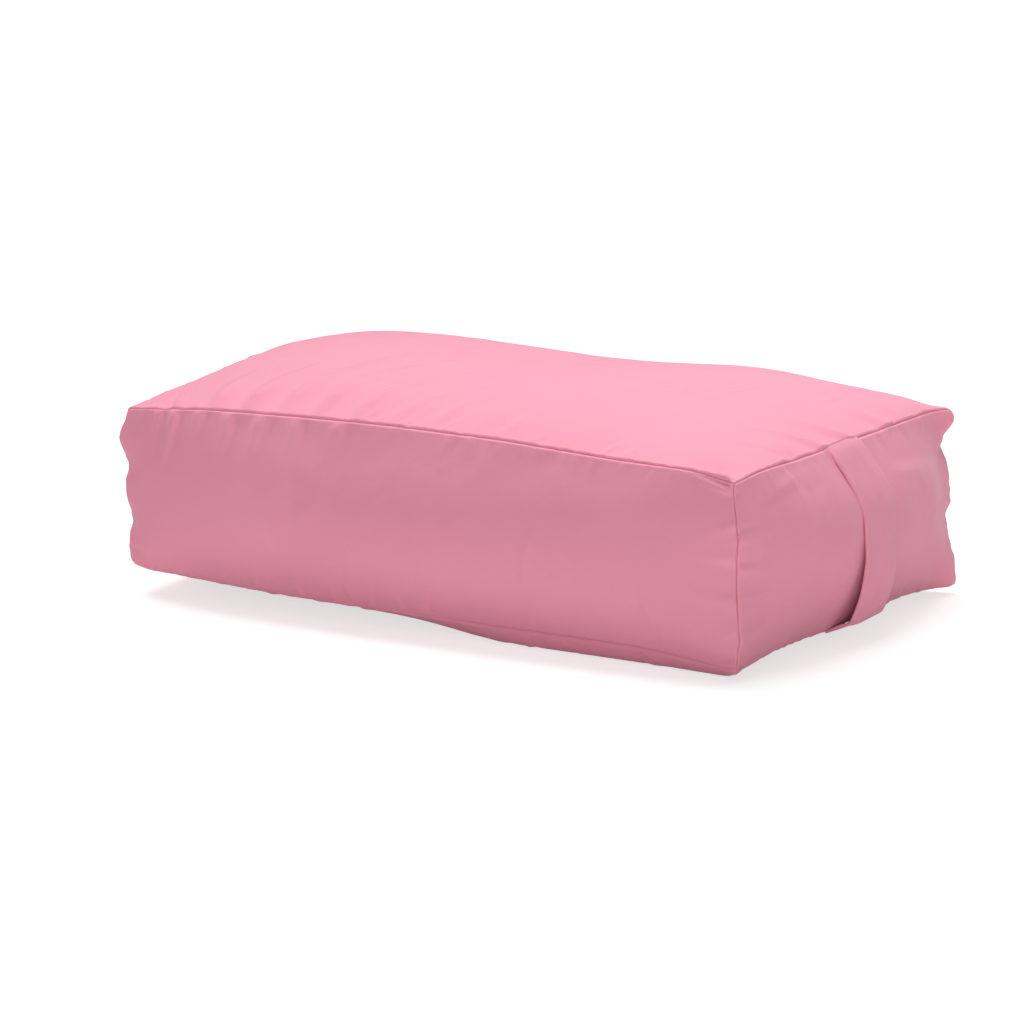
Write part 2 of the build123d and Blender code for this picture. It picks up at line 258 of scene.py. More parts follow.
def sewn_lattice():
    """One closed mesh from the six sides: points, faces, each side's vertex numbers, and groups."""
    keys, points, faces, ids_of = {}, [], [], {}
    groups = {"seam": set(), "pin": set()}
    for side in SIDES:
        places = lattice(side)
        n_a, n_b = places.shape[0] - 1, places.shape[1] - 1
        grid = pillow_points(side, np.linspace(0, 1, n_a + 1), np.linspace(0, 1, n_b + 1), 0.0)
        ids = np.zeros(places.shape[:2], int)
        for i in range(n_a + 1):
            for j in range(n_b + 1):
                key = tuple(places[i, j])
                if key not in keys:
                    keys[key] = len(points)
                    points.append(grid[i, j])
                ids[i, j] = keys[key]
                cells_to_seam = min(i, n_a - i, j, n_b - j)
                at_zip = abs(grid[i, j][2] - ZIP_Z) < ZIP_OPENING / 2 + SIM_CELL
                if cells_to_seam == 0:
                    groups["seam"].add(keys[key])
                if side == "bottom" and cells_to_seam * SIM_CELL > PIN_MARGIN:
                    groups["pin"].add(keys[key])
                if side == "back" and at_zip:
                    groups["pin"].add(keys[key])
        faces += grid_faces(ids)
        ids_of[side] = ids
    return np.array(points), faces, ids_of, groups


def shaken(points, pinned):
    """The points moved a little at random, so that the cloth has something to buckle from."""
    rng = np.random.default_rng(SEED)
    free = ~np.isin(np.arange(len(points)), list(pinned))
    return points + rng.normal(0, SHAKE, points.shape) * free[:, None]


def blown_up(points, faces, groups):
    """Where the cloth simulation leaves the points."""
    obj = make_object("cloth_start", shaken(points, groups["pin"]), faces)
    for name, members in groups.items():
        obj.vertex_groups.new(name=name).add(sorted(members), 1.0, "REPLACE")
    cloth = obj.modifiers.new("Cloth", "CLOTH")
    for key, value in CLOTH_SETTINGS.items():
        setattr(cloth.settings, key, value)
    cloth.settings.effector_weights.gravity = 0
    cloth.collision_settings.use_collision = False
    cloth.point_cache.frame_end = SIM_FRAMES + 1
    scene = bpy.context.scene
    for step in range(1, SIM_FRAMES + 1):
        scene.frame_set(step)
    shape = obj.evaluated_get(bpy.context.evaluated_depsgraph_get()).to_mesh()
    blown = np.zeros(len(shape.vertices) * 3)
    shape.vertices.foreach_get("co", blown)
    bpy.data.objects.remove(obj)
    scene.frame_set(1)
    return blown.reshape(-1, 3)


def simulate_cover():
    """Blows up the sewn cover and returns each side's grid of points."""
    start, faces, ids_of, groups = sewn_lattice()
    moved = blown_up(start, faces, groups) - start
    size = np.linalg.norm(moved, axis=1, keepdims=True) + 1e-9
    capped = start + moved / size * MOVE_CAP * np.tanh(size / MOVE_CAP)
    corner_ids = [ids_of[side][i, j] for side in ("top", "bottom") for i in (0, -1) for j in (0, -1)]
    for k, middle in ((0, 0.0), (1, 0.0), (2, Z_MID)):
        wanted = np.abs(start[corner_ids, k] - middle).mean()
        kept = wanted / np.abs(capped[corner_ids, k] - middle).mean()
        capped[:, k] = middle + (capped[:, k] - middle) * kept
    sides = {side: pushed(smoothed(capped[ids])) for side, ids in ids_of.items()}
    sides["bottom"] = bottom_grid(sides["bottom"])
    return sides


def smoothed(grid):
    """The grid without the simulation's shortest waves; its seams are smoothed along themselves."""
    grid = grid.copy()
    for _ in range(SMOOTHING):
        grid[1:-1, 1:-1] = (
            grid[1:-1, 1:-1] * 4 + grid[:-2, 1:-1] + grid[2:, 1:-1] + grid[1:-1, :-2] + grid[1:-1, 2:]
        ) / 8
    for _ in range(SEAM_SMOOTHING):
        for edge in (grid[0], grid[-1], grid[:, 0], grid[:, -1]):
            edge[1:-1] = (edge[:-2] + 2 * edge[1:-1] + edge[2:]) / 4
    return grid


def bottom_grid(grid):
    """The bottom panel: it drops from its seams, bulging a little, and lies flat on the floor."""
    n_a, n_b = grid.shape[:2]
    a, b = np.linspace(0, 1, n_a)[:, None, None], np.linspace(0, 1, n_b)[None, :, None]
    along_a = (1 - b) * grid[:, :1] + b * grid[:, -1:]
    along_b = (1 - a) * grid[:1] + a * grid[-1:]
    corners_low = (1 - a) * grid[:1, :1] + a * grid[-1:, :1]
    corners_high = (1 - a) * grid[:1, -1:] + a * grid[-1:, -1:]
    flat = along_a + along_b - ((1 - b) * corners_low + b * corners_high)
    length_a, length_b = spans("bottom")
    from_a = np.minimum(a, 1 - a)[..., 0] * length_a
    from_b = np.minimum(b, 1 - b)[..., 0] * length_b
    slack = np.clip((SLACK_END - a[..., 0]) / SLACK_RUN, 0, 1)
    slack = slack * slack * (3 - 2 * slack)
    roll_b = BOTTOM_ROLL + GENTLE_ROLL * slack
    corner_near = np.exp(-(((1 - b[..., 0]) * length_b / TIGHT_CORNER) ** 2)) * (a[..., 0] > 0.5)
    roll_a = BOTTOM_ROLL + GENTLE_ROLL * np.maximum(0.5 * (1 - corner_near), slack)
    inside = np.minimum(from_a / roll_a, from_b / roll_b)
    flat[..., 2] *= np.clip(1 - inside, 0, 1) ** ROLL_POWER
    bulge = BOTTOM_BULGE * (1 - slack) * np.sin(np.pi * np.clip(inside / BULGE_REACH, 0, 1))
    near_a, near_b = from_a < roll_a * BULGE_REACH, from_b < roll_b * BULGE_REACH
    near_a = near_a & (corner_near > 0.3)
    flat[..., 0] += np.sign(flat[..., 0]) * bulge * near_a
    flat[..., 1] += np.sign(flat[..., 1]) * bulge * near_b
    flat[1:-1, 1:-1, 2] = np.maximum(flat[1:-1, 1:-1, 2], 0.0)
    return flat


# Each push: middle, movement, reach, all in millimetres. Both sides of a seam get the same push.
PUSHES = [
    # the scalloped edge at the plain end, from the top down
    ((-300, -180, 140), (-9, -1, 0), 16),
    ((-300, -180, 111), (1, 1, 0), 8),
    ((-300, -180, 92), (-3, -1, 0), 15),
    ((-300, -180, 61), (5, 2, 0), 10),
    ((-300, -180, 36), (1, 0, 0), 18),
    ((-300, -180, 13), (3, 3, 1), 9),
    # that end sits lower at the top and is lifted at the bottom
    ((-300, -180, 163), (0, 0, -7), 75),
    ((-300, -180, 12), (0, 0, 6), 90),
    # the dog-ear at the far top corner of the handle end and the bulges under it
    ((303, 180, 154), (11, 5, 1), 12),
    ((303, 180, 134), (-4, -3, 0), 8),
    ((303, 180, 100), (2, 1, 0), 18),
    ((303, 180, 74), (-0.5, 0, 0), 10),
    ((303, 180, 36), (7, 5, 0), 20),
    ((303, 180, 12), (8, 6, 0), 18),
    # the handle end is full high up and its bottom seam hangs low
    *[((318, y, 118), (6.5, 0, 0), 38) for y in (-110, -55, 0, 55, 110)],
    ((300, -180, 13), (0, 0, -8), 65),
    ((300, 0, 13), (0, 0, -6), 110),
    ((300, 180, 13), (0, 0, -7), 70),
    # the crown dips behind the middle and is fuller towards the plain end
    ((10, 120, 190), (0, 0, -8), 130),
    ((-230, 60, 180), (0, 0, 5), 90),
    # its back half rises again towards the handle, and the plain end's top seam bows up
    ((140, 120, 200), (0, 0, 6), 80),
    ((-300, 10, 172), (0, 0, 6), 80),
    # the near upright seam wanders
    ((300, -180, 163), (-3, 0, -4), 30),
    ((300, -180, 120), (1.5, -1, 0), 22),
    ((300, -180, 40), (4, -2, 0), 25),
    # the far plain corner
    ((-300, 180, 160), (-3, 3, -2), 16),
    ((-300, 180, 90), (-4, 2, 0), 22),
]


def pushed(points):
    """Shaping on top of the simulation, the same for every side that shares a point."""
    points = points.copy()
    for middle, move, reach in PUSHES:
        away = ((points - np.array(middle) * MM) ** 2).sum(axis=-1)
        points += np.exp(-away / (reach * MM) ** 2)[..., None] * np.array(move) * MM
    along_x = np.clip(1 - (points[..., 0] / (LENGTH / 2)) ** 2, 0, 1)
    at_seam = np.exp(-(((np.abs(points[..., 1]) - WIDTH / 2) / SEAM_BOW_REACH) ** 2))
    high = np.clip((points[..., 2] - Z_LOW) / BOXING, 0, 1) ** 3
    points[..., 2] += SEAM_BOW * along_x * at_seam * high
    points[..., 2] = np.maximum(points[..., 2], 0.0)
    return points


# ---- smooth lookup on a simulated grid ----
def cubic_weights(t, count, derivative=False):
    """Matrix that interpolates count evenly spaced samples at t from 0 to 1."""
    x = np.clip(t, 0, 1) * (count - 1)
    i = np.clip(np.floor(x).astype(int), 0, count - 2)
    f = x - i
    if derivative:
        w = [-1.5 * f**2 + 2 * f - 0.5, 4.5 * f**2 - 5 * f, -4.5 * f**2 + 4 * f + 0.5, 1.5 * f**2 - f]
        w = [k * (count - 1) for k in w]
    else:
        w = [
            -0.5 * f**3 + f**2 - 0.5 * f,
            1.5 * f**3 - 2.5 * f**2 + 1,
            -1.5 * f**3 + 2 * f**2 + 0.5 * f,
            0.5 * f**3 - 0.5 * f**2,
        ]
    matrix = np.zeros((len(t), count))
    rows = np.arange(len(t))
    for k, weight in enumerate(w):
        at = i + k - 1
        below, above = at < 0, at > count - 1
        inside = ~(below | above)
        matrix[rows[inside], at[inside]] += weight[inside]
        matrix[rows[below], 0] += 2 * weight[below]
        matrix[rows[below], 1] -= weight[below]
        matrix[rows[above], count - 1] += 2 * weight[above]
        matrix[rows[above], count - 2] -= weight[above]
    return matrix


def unit(v):
    return v / (np.linalg.norm(v, axis=-1, keepdims=True) + 1e-12)


def spread_grid(w_a, w_b, grid):
    """The grid's points mixed by one matrix along a and one along b."""
    return np.stack([w_a @ grid[..., k] @ w_b.T for k in range(3)], axis=-1)


def surface(side, a, b):
    """Points and outward normals of the cover's side on the grid of a by b."""
    grid = cover[side]
    w_a, w_b = cubic_weights(a, grid.shape[0]), cubic_weights(b, grid.shape[1])
    d_a, d_b = cubic_weights(a, grid.shape[0], True), cubic_weights(b, grid.shape[1], True)
    points = spread_grid(w_a, w_b, grid)
    along_a = spread_grid(d_a, w_b, grid)
    along_b = spread_grid(w_a, d_b, grid)
    normals = unit(np.cross(along_a, along_b))
    return points + normals * fold_height(side, a, b)[..., None], normals


# ---- folds and puckers; lengths in millimetres ----
PUCKER_MARGIN, PUCKER_TAPER = 8, 4
PUCKER_LENGTH, PUCKER_WIDTH = (9, 38), (1.8, 4.2)
PUCKER_RISE, PUCKER_SPACING = (0.2, 0.95), (9, 30)
LOOSE_WIDTH, LOOSE_TAPER = (3, 8), 5
RISE_POWER, FALL_POWER = 1.2, 1.5  # how a fold's height grows from its start and fades to its end
VALLEY_PLACE, VALLEY_WIDTH, VALLEY_SHARE = 1.9, 1.3, 0.55  # the hollow beside a fold, in its half widths


def fold_height(side, a, b):
    """Sum of the side's folds on the grid of a by b."""
    length_a, length_b = spans(side)
    x, y = np.meshgrid(a * length_a, b * length_b, indexing="ij")
    height = np.zeros_like(x)
    for start, end, bend, width, rise, reach in folds[side]:
        (x0, y0), (x1, y1) = start, end
        dx, dy = x1 - x0, y1 - y0
        size = math.hypot(dx, dy)
        t = ((x - x0) * dx + (y - y0) * dy) / size**2
        across = ((y - y0) * dx - (x - x0) * dy) / size - bend * 4 * t * (1 - t)
        taper = np.clip(1 - t, 0, 1) ** FALL_POWER * np.clip(1 + t * reach, 0, 1)
        if reach:
            taper *= np.clip(t * reach, 0, 1) ** RISE_POWER
        ridge = np.exp(-((across / width) ** 2))
        valley = np.exp(-(((across - VALLEY_PLACE * width) / (VALLEY_WIDTH * width)) ** 2))
        height += FOLD_STRENGTH * rise * taper * (ridge - VALLEY_SHARE * valley)
    return height


def seam_puckers(side, rng):
    """Short folds that run in from the four seams of a side."""
    length_a, length_b = spans(side)
    found = []
    for edge in range(4):
        run, depth = (length_a, length_b) if edge < 2 else (length_b, length_a)
        at = rng.uniform(PUCKER_MARGIN, 20) * MM
        while at < run - PUCKER_MARGIN * MM:
            long = min(rng.uniform(*PUCKER_LENGTH) * MM, depth * 0.4)
            lean = rng.uniform(-0.45, 0.45) * long
            width = rng.uniform(*PUCKER_WIDTH) * MM
            rise = rng.choice((-1, 1)) * rng.uniform(*PUCKER_RISE) * MM
            far = depth if edge % 2 else 0.0
            tip = depth - long if edge % 2 else long
            start, end = (at, far), (at + lean, tip)
            if edge >= 2:
                start, end = start[::-1], end[::-1]
            found.append((start, end, rng.uniform(-1.5, 1.5) * MM, width, rise, PUCKER_TAPER))
            at += rng.uniform(*PUCKER_SPACING) * MM
    return found


def loose_wrinkles(side, rng, count, rise):
    """Long shallow wrinkles across the middle of a side."""
    length_a, length_b = spans(side)
    found = []
    for _ in range(count):
        x, y = rng.uniform(0.05, 0.95) * length_a, rng.uniform(0.08, 0.92) * length_b
        size = rng.uniform(0.15, 0.45) * length_b
        upright = rng.random() < 0.5 or side not in ("top", "bottom")
        turn = rng.uniform(-0.6, 0.6) + math.pi / 2 * upright
        end = (x + size * math.cos(turn), y + size * math.sin(turn))
        bend, width = rng.uniform(-5, 5) * MM, rng.uniform(*LOOSE_WIDTH) * MM
        found.append(((x, y), end, bend, width, rng.choice((-1, 1)) * rise, LOOSE_TAPER))
    return found


# Each fold: start, end, sideways bend, half width and height in millimetres, and how fast it rises
# from its start (0 for at once).
PLACED_FOLDS = {
    "top": [
        # the sharp fold near the plain end and the broad ones that fan out from the front seam
        ((48, 0), (12, 130), 3, 3.6, 2.8, 12),
        ((88, 0), (80, 150), 9, 7, 2.2, 7),
        ((122, 0), (140, 190), 14, 7.5, 2.7, 8),
        ((156, 0), (200, 220), 18, 8, 2.8, 8),
        ((190, 0), (255, 210), 20, 7.5, 2.7, 8),
        ((226, 0), (300, 180), 16, 7.5, 2.3, 7),
        ((262, 0), (325, 130), 10, 7, 1.5, 6),
        ((300, 0), (350, 110), 8, 6, 1.2, 6),
        ((372, 0), (392, 80), 4, 6, 1.0, 6),
        # in front of the handle and at the far corner of that end
        ((598, 96), (520, 70), 6, 6, -0.9, 0),
        ((598, 152), (512, 120), 7, 6, 1.0, 0),
        ((598, 196), (520, 170), 6, 7, 1.0, 0),
        ((598, 262), (505, 240), 6, 8, 0.9, 0),
        ((470, 300), (588, 345), -8, 9, 1.2, 4),
        # the flap over the front seam beside the near corner
        ((597, 4), (540, 4), 0, 4.5, 2.2, 8),
    ],
    "front": [
        ((34, 150), (28, 104), 2, 3, 1.5, 10),
        ((50, 150), (40, 88), 3, 3.5, 1.9, 10),
        ((76, 150), (74, 104), -2, 4, 1.3, 8),
        ((104, 150), (94, 82), 4, 5, 1.8, 8),
        ((136, 150), (120, 70), 4, 6, 1.9, 8),
        ((172, 150), (160, 74), 4, 6, 1.6, 8),
        ((216, 150), (208, 84), -3, 7, 1.5, 8),
        # pulled hollow under the flap, and the small tuck at the foot of the same seam
        ((598, 146.5), (545, 149), 0.5, 2.0, -1.8, 8),
        ((598, 8), (550, 4), 0, 3, -1.6, 6),
        ((598, 84), (560, 92), 2, 4, 0.7, 0),
        ((598, 52), (548, 60), 2, 5, 0.6, 0),
        ((598, 112), (566, 104), 2, 4, 0.6, 0),
    ],
    "right": [
        # creases that run level across the end, and short ones off the near seam
        ((6, 118), (150, 124), 5, 4, -0.8, 4),
        ((40, 128), (130, 138), 4, 4, 0.7, 5),
        ((2, 100), (40, 98), 1, 3, 0.8, 0),
        ((2, 76), (46, 70), 1, 3, 0.7, 0),
        ((2, 52), (38, 56), 1, 3.5, 0.7, 0),
        ((2, 24), (70, 34), 3, 5, 0.9, 0),
        ((220, 120), (345, 112), -5, 5, 1.0, 4),
        ((230, 90), (350, 84), 4, 6, -0.8, 4),
        ((358, 122), (318, 128), 2, 4, 1.2, 0),
        ((358, 70), (310, 76), 2, 5, 1.0, 0),
    ],
    "left": [],
    "back": [],
    "bottom": [],
}
LOOSE_COUNT = {"top": 16, "bottom": 4, "front": 18, "back": 18, "right": 18, "left": 18}
LOOSE_RISE = 0.6 * MM


def in_metres(fold):
    start, end, bend, width, rise, reach = fold
    ends = [tuple(value * MM for value in place) for place in (start, end)]
    return (*ends, bend * MM, width * MM, rise * MM, reach)


def all_folds():
    rng = random.Random(SEED)
    found = {}
    for side in SIDES:
        found[side] = [in_metres(fold) for fold in PLACED_FOLDS[side]]
        found[side] += seam_puckers(side, rng)
        found[side] += loose_wrinkles(side, rng, LOOSE_COUNT[side], LOOSE_RISE)
    return found


# ---- panels ----
def roll_rows():
    """Distance from the seam, depth and distance run along the cloth, from the seam outward."""
    angle = np.linspace(ROLL, 0, 8)
    distance = LIP_START - LIP * np.sin(angle)
    depth = LIP * (1 - np.cos(angle))
    return distance, depth, LIP * (ROLL - angle)


def graded(room, cell):
    """Steps that grow from the rolled edge's spacing to cell, filling room."""
    steps, step = [], 0.6 * MM
    while step < cell:
        steps.append(step)
        step *= 1.3
    middle = room - 2 * sum(steps)
    count = max(1, round(middle / cell))
    full = steps + [middle / count] * count + steps[::-1]
    return np.array(full)


def stations(length, cell):
    """Parameter, depth and cloth distance of every row across a panel with seams at both ends."""
    distance, depth, run = roll_rows()
    inner = LIP_START + np.cumsum(graded(length - 2 * LIP_START, cell))[:-1]
    place = np.concatenate([distance, inner, length - distance[::-1]])
    deep = np.concatenate([depth, np.zeros(len(inner)), depth[::-1]])
    run_inner = run[-1] + inner - LIP_START
    run_end = run_inner[-1] + (length - LIP_START - inner[-1]) + run
    return place / length, deep, np.concatenate([run, run_inner, run_end])


def rolled(side, a, deep_a, b, deep_b):
    points, normals = surface(side, a, b)
    depth = np.maximum(deep_a[:, None], deep_b[None, :])
    return points - normals * depth[..., None]


def neighbour(side, axis, far):
    """The side that shares an edge: its name, the edge's axis and end there, and if it runs reversed."""
    a = np.array([0.3, 0.7])
    ends = np.full(2, 1.0 if far else 0.0)
    here = cube(side, ends, a) if axis == 0 else cube(side, a, ends)
    for other in SIDES:
        if other == side:
            continue
        for other_axis in (0, 1):
            for other_far in (False, True):
                other_ends = np.full(2, 1.0 if other_far else 0.0)
                for run in (a, a[::-1]):
                    there = cube(other, other_ends, run) if other_axis == 0 else cube(other, run, other_ends)
                    if np.allclose(here, there):
                        return other, other_axis, other_far, run[0] != a[0]
    raise ValueError(side)


def edge_line(side, axis, far, t, deep):
    """A side's own idea of its seam line at parameters t along the seam."""
    length = spans(side)[axis]
    at = np.array([RAIL / length if not far else 1 - RAIL / length])
    down = np.array([RAIL])
    if axis == 0:
        return rolled(side, at, down, t, deep)[0]
    return rolled(side, t, deep, at, down)[:, 0]


def seam_line(side, axis, far, t, deep):
    """The line that both sides of a seam share, from the mean of the two."""
    own = edge_line(side, axis, far, t, deep)
    other, other_axis, other_far, reversed_run = neighbour(side, axis, far)
    other_t, other_deep = (1 - t[::-1], deep[::-1]) if reversed_run else (t, deep)
    theirs = edge_line(other, other_axis, other_far, other_t, other_deep)
    if reversed_run:
        theirs = theirs[::-1]
    return (own + theirs) / 2


def corner_point(side, far_a, far_b):
    """The mean of the three sides that meet at a corner."""
    sign = cube(side, np.array(float(far_a)), np.array(float(far_b)))
    found = []
    for other in SIDES:
        for a_end in (0.0, 1.0):
            for b_end in (0.0, 1.0):
                if np.allclose(cube(other, np.array(a_end), np.array(b_end)), sign):
                    length_a, length_b = spans(other)
                    a = np.array([abs(a_end - RAIL / length_a)])
                    b = np.array([abs(b_end - RAIL / length_b)])
                    down = np.array([RAIL])
                    found.append(rolled(other, a, down, b, down)[0, 0])
    return sum(found) / len(found)


def edge_weight(deep):
    """1 on the seam, falling to 0 where the roll starts."""
    return np.clip(deep / RAIL, 0, 1)


def sewn_grid(side, a, deep_a, b, deep_b, seams=(True, True, True, True)):
    """The side's outer surface with its edge rows moved onto the shared seam lines."""
    points = rolled(side, a, deep_a, b, deep_b)
    half_a, half_b = np.arange(len(a)) < len(a) / 2, np.arange(len(b)) < len(b) / 2
    weights_a = [edge_weight(deep_a) * half_a, edge_weight(deep_a) * ~half_a]
    weights_b = [edge_weight(deep_b) * half_b, edge_weight(deep_b) * ~half_b]
    moves = []
    for axis, t, deep, weights in ((0, b, deep_b, weights_b), (1, a, deep_a, weights_a)):
        for far in (False, True):
            line = seam_line(side, axis, far, t, deep)
            for end in (False, True):
                far_a, far_b = (far, end) if axis == 0 else (end, far)
                gap = corner_point(side, far_a, far_b) - line[-1 if end else 0]
                if weights[int(end)].max() > 0.99:
                    line = line + weights[int(end)][:, None] * gap
            edge = -1 if far else 0
            own = points[edge] if axis == 0 else points[:, edge]
            moves.append(line - own)
    total = np.zeros_like(points)
    for k, far in ((0, 0), (1, 1)):
        if seams[k]:
            total += weights_a[far][:, None, None] * moves[k][None]
        if seams[2 + k]:
            total += weights_b[far][None, :, None] * moves[2 + k][:, None]
    for far_a in (0, 1):
        for far_b in (0, 1):
            if seams[far_a] and seams[2 + far_b]:
                weight = weights_a[far_a][:, None, None] * weights_b[far_b][None, :, None]
                total -= weight * moves[far_a][-1 if far_b else 0]
    points = points + total
    points[..., 2] = np.maximum(points[..., 2], 0.0)
    return points


def grid_normals(points):
    return unit(np.cross(np.gradient(points, axis=0), np.gradient(points, axis=1)))


def thick_sheet(name, outer, inner, u, v, material):
    """A closed sheet from two grids, with its UVs in metres."""
    n_a, n_b = outer.shape[:2]
    top_ids = np.arange(n_a * n_b).reshape(n_a, n_b)
    low_ids = top_ids + n_a * n_b
    faces = grid_faces(top_ids) + grid_faces(low_ids, flip=True)
    rims = (
        (top_ids[:, 0], low_ids[:, 0], False),
        (top_ids[:, -1], low_ids[:, -1], True),
        (top_ids[0], low_ids[0], True),
        (top_ids[-1], low_ids[-1], False),
    )
    for upper, lower, flip in rims:
        faces += grid_faces(np.stack([lower, upper], axis=1), flip)
    obj = make_object(name, np.concatenate([outer.reshape(-1, 3), inner.reshape(-1, 3)]), faces)
    flat = np.stack(np.meshgrid(u, v, indexing="ij"), axis=-1).reshape(-1, 2)
    finish_mesh(obj, np.concatenate([flat, flat]), material)
    return obj


def finish_mesh(obj, flat_uv, material):
    mesh = obj.data
    mesh.shade_smooth()
    if flat_uv is not None:
        layer = mesh.uv_layers.new(name="cloth")
        loops = np.zeros(len(mesh.loops), int)
        mesh.loops.foreach_get("vertex_index", loops)
        layer.data.foreach_set("uv", flat_uv[loops].ravel())
    mesh.materials.append(material)


def fit_sheet(obj, name):
    """Hides a sheet's CAD piece and ties the sheet to its body."""
    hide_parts(name)
    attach(obj, "cushion")


def full_panel(name, side, material):
    length_a, length_b = spans(side)
    a, deep_a, run_a = stations(length_a, FINE_CELL)
    b, deep_b, run_b = stations(length_b, FINE_CELL)
    outer = sewn_grid(side, a, deep_a, b, deep_b)
    inner = outer - grid_normals(outer) * COVER
    obj = thick_sheet(name, outer, inner, run_a, run_b, material)
    fit_sheet(obj, name)


def strip_rows(upper):
    """Rows of a back strip from its seam to its hem: distance, depth in the seam, depth in the hem."""
    room = HEM_PLACE[upper] - Z_LOW
    if upper:
        room = BOXING - room
    distance, depth, _ = roll_rows()
    turn = np.linspace(0, math.pi, 9)[1:]
    flat_end = room - HEM_ROUND
    inner = LIP_START + np.cumsum(graded(flat_end - LIP_START, HEM_CELL))
    folded = flat_end + HEM_ROUND * np.sin(turn)
    under = flat_end - np.arange(HEM_CELL, HEM_DEPTH + HEM_CELL / 2, HEM_CELL)
    flat_count, hem_count = len(inner), len(folded) + len(under)
    far = np.concatenate([distance, inner, folded, under])
    deep = np.concatenate([depth, np.zeros(flat_count + hem_count)])
    hem = np.concatenate([HEM_ROUND * (1 - np.cos(turn)), np.full(len(under), 2 * HEM_ROUND)])
    sunk = np.concatenate([np.zeros(len(distance) + flat_count), hem])
    return far, deep, sunk


def closing_shift(a, b):
    """How far the strips reach towards each other beyond the stops, where the opening ends."""
    length_a, length_b = spans("back")
    ends = np.clip((np.abs((a - 0.5) * length_a) - CLOSE_START) / CLOSE_RUN, 0, 1)
    closing = (ZIP_OPENING / 2 - CLOSE_GAP) * ends * ends * (3 - 2 * ends)
    return closing[:, None] * np.exp(-((b * length_b / CLOSE_REACH) ** 2))[None, :]


def back_strip(name, upper, material):
    """One strip beside the zip: sewn on three edges, folded under at the zip."""
    length_a, length_b = spans("back")
    a, deep_a, run_a = stations(length_a, FINE_CELL)
    far, deep_b, sunk = strip_rows(upper)
    run_b = np.concatenate([[0], np.cumsum(np.hypot(np.diff(far), np.diff(deep_b + sunk)))])
    b = far / length_b
    if upper:
        b, deep_b, sunk, run_b = 1 - b[::-1], deep_b[::-1], sunk[::-1], run_b[-1] - run_b[::-1]
    outer = sewn_grid("back", a, deep_a, b, deep_b, (True, True, not upper, upper))
    normals = surface("back", a, b)[1]
    clear = TAPE_FRONT + 2 * HEM_ROUND + COVER * 0.2
    outer[..., 1] += np.maximum(0, clear - outer[..., 1]) * (sunk > 0)[None]
    hem = (HEM_PLACE[upper] - Z_LOW) / length_b
    outer[..., 2] -= (1 if upper else -1) * closing_shift(a, b - hem)
    outer = outer - normals * sunk[None, :, None]
    inner_grid = outer - grid_normals(outer) * COVER * HEM_PLY
    obj = thick_sheet(name, outer, inner_grid, run_a, run_b, material)
    fit_sheet(obj, name)


# ---- tubes, threads and small parts ----
def tube(points, radius, sides=6, squash=1.0):
    """Vertices and faces of a capped round tube along points."""
    points = np.asarray(points)
    forward = unit(np.gradient(points, axis=0))
    spare = np.where(np.abs(forward[:, 2:3]) > 0.9, [[1.0, 0, 0]], [[0, 0, 1.0]])
    side = unit(np.cross(forward, spare))
    up = np.cross(side, forward)
    angle = np.linspace(0, 2 * math.pi, sides, endpoint=False)
    ring = side[:, None] * np.cos(angle)[None, :, None] + up[:, None] * np.sin(angle)[None, :, None] * squash
    verts = (points[:, None] + ring * radius).reshape(-1, 3)
    return verts, tube_faces(len(points), sides)


def tube_faces(rows, sides, flip=False):
    """Faces of a capped tube whose vertices come in rows of sides."""
    ids = np.arange(rows * sides).reshape(rows, sides)
    wrapped = np.concatenate([ids, ids[:, :1]], axis=1)
    return grid_faces(wrapped, flip) + [ids[0].tolist(), ids[-1][::-1].tolist()]


def joined(parts):
    verts, faces, offset = [], [], 0
    for part_verts, part_faces in parts:
        verts.append(part_verts)
        faces += [[v + offset for v in face] for face in part_faces]
        offset += len(part_verts)
    return np.concatenate(verts), faces


def distance_run(path):
    return np.concatenate([[0], np.cumsum(np.linalg.norm(np.diff(path, axis=0), axis=1))])


def along(path, spacing):
    """A path resampled to even spacing."""
    steps = distance_run(path)
    at = np.linspace(0, steps[-1], max(2, round(steps[-1] / spacing) + 1))
    return np.stack([np.interp(at, steps, path[:, k]) for k in range(3)], axis=1)


def stitches(path, lift, radius, pitch, share):
    """A row of stitches: each one a short thread that dips at both ends."""
    ticks = along(path, pitch)
    parts = []
    for start, end in zip(ticks[:-1], ticks[1:]):
        reach = np.linspace(0, share, 5)[:, None]
        bow = np.sin(np.linspace(0, math.pi, 5))[:, None]
        parts.append(tube(start + (end - start) * reach + lift * (bow * 0.5 - STITCH_DIP), radius, 5))
    return joined(parts)


def placed(name, parts, material, node=None):
    verts, faces = parts
    obj = make_object(name, verts, faces)
    finish_mesh(obj, None, material)
    if node:
        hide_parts(node)
    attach(obj, "cushion")


def seam_path(side, axis, far, inward):
    """A seam line shortened at both ends and moved inside the cover."""
    length = spans(side)[1 - axis]
    t = np.linspace(THREAD_END, length - THREAD_END, 160) / length
    line = seam_line(side, axis, far, t, np.zeros(len(t)))
    centre = np.array([0, 0, Z_MID])
    towards = centre - line
    towards[:, np.argmax(np.abs(line[-1] - line[0]))] = 0
    return line + unit(np.sign(np.round(towards, 2))) * inward


def make_threads(material):
    ends = (False, True)
    rings = {
        "thread_top_seam": [("top", axis, far) for axis in (0, 1) for far in ends],
        "thread_bottom_seam": [("bottom", axis, far) for axis in (0, 1) for far in ends],
        "thread_corner_seams": [(side, 0, far) for side in ("front", "back") for far in ends],
    }
    for name, seams in rings.items():
        parts = []
        for side, axis, far in seams:
            path = seam_path(side, axis, far, THREAD_INSET)
            lift = np.array([0, 0, SEAM_THREAD])
            parts.append(stitches(path, lift, SEAM_THREAD, SEAM_STITCH, SEAM_STITCH_SHARE))
        placed(name, joined(parts), material, node=name)


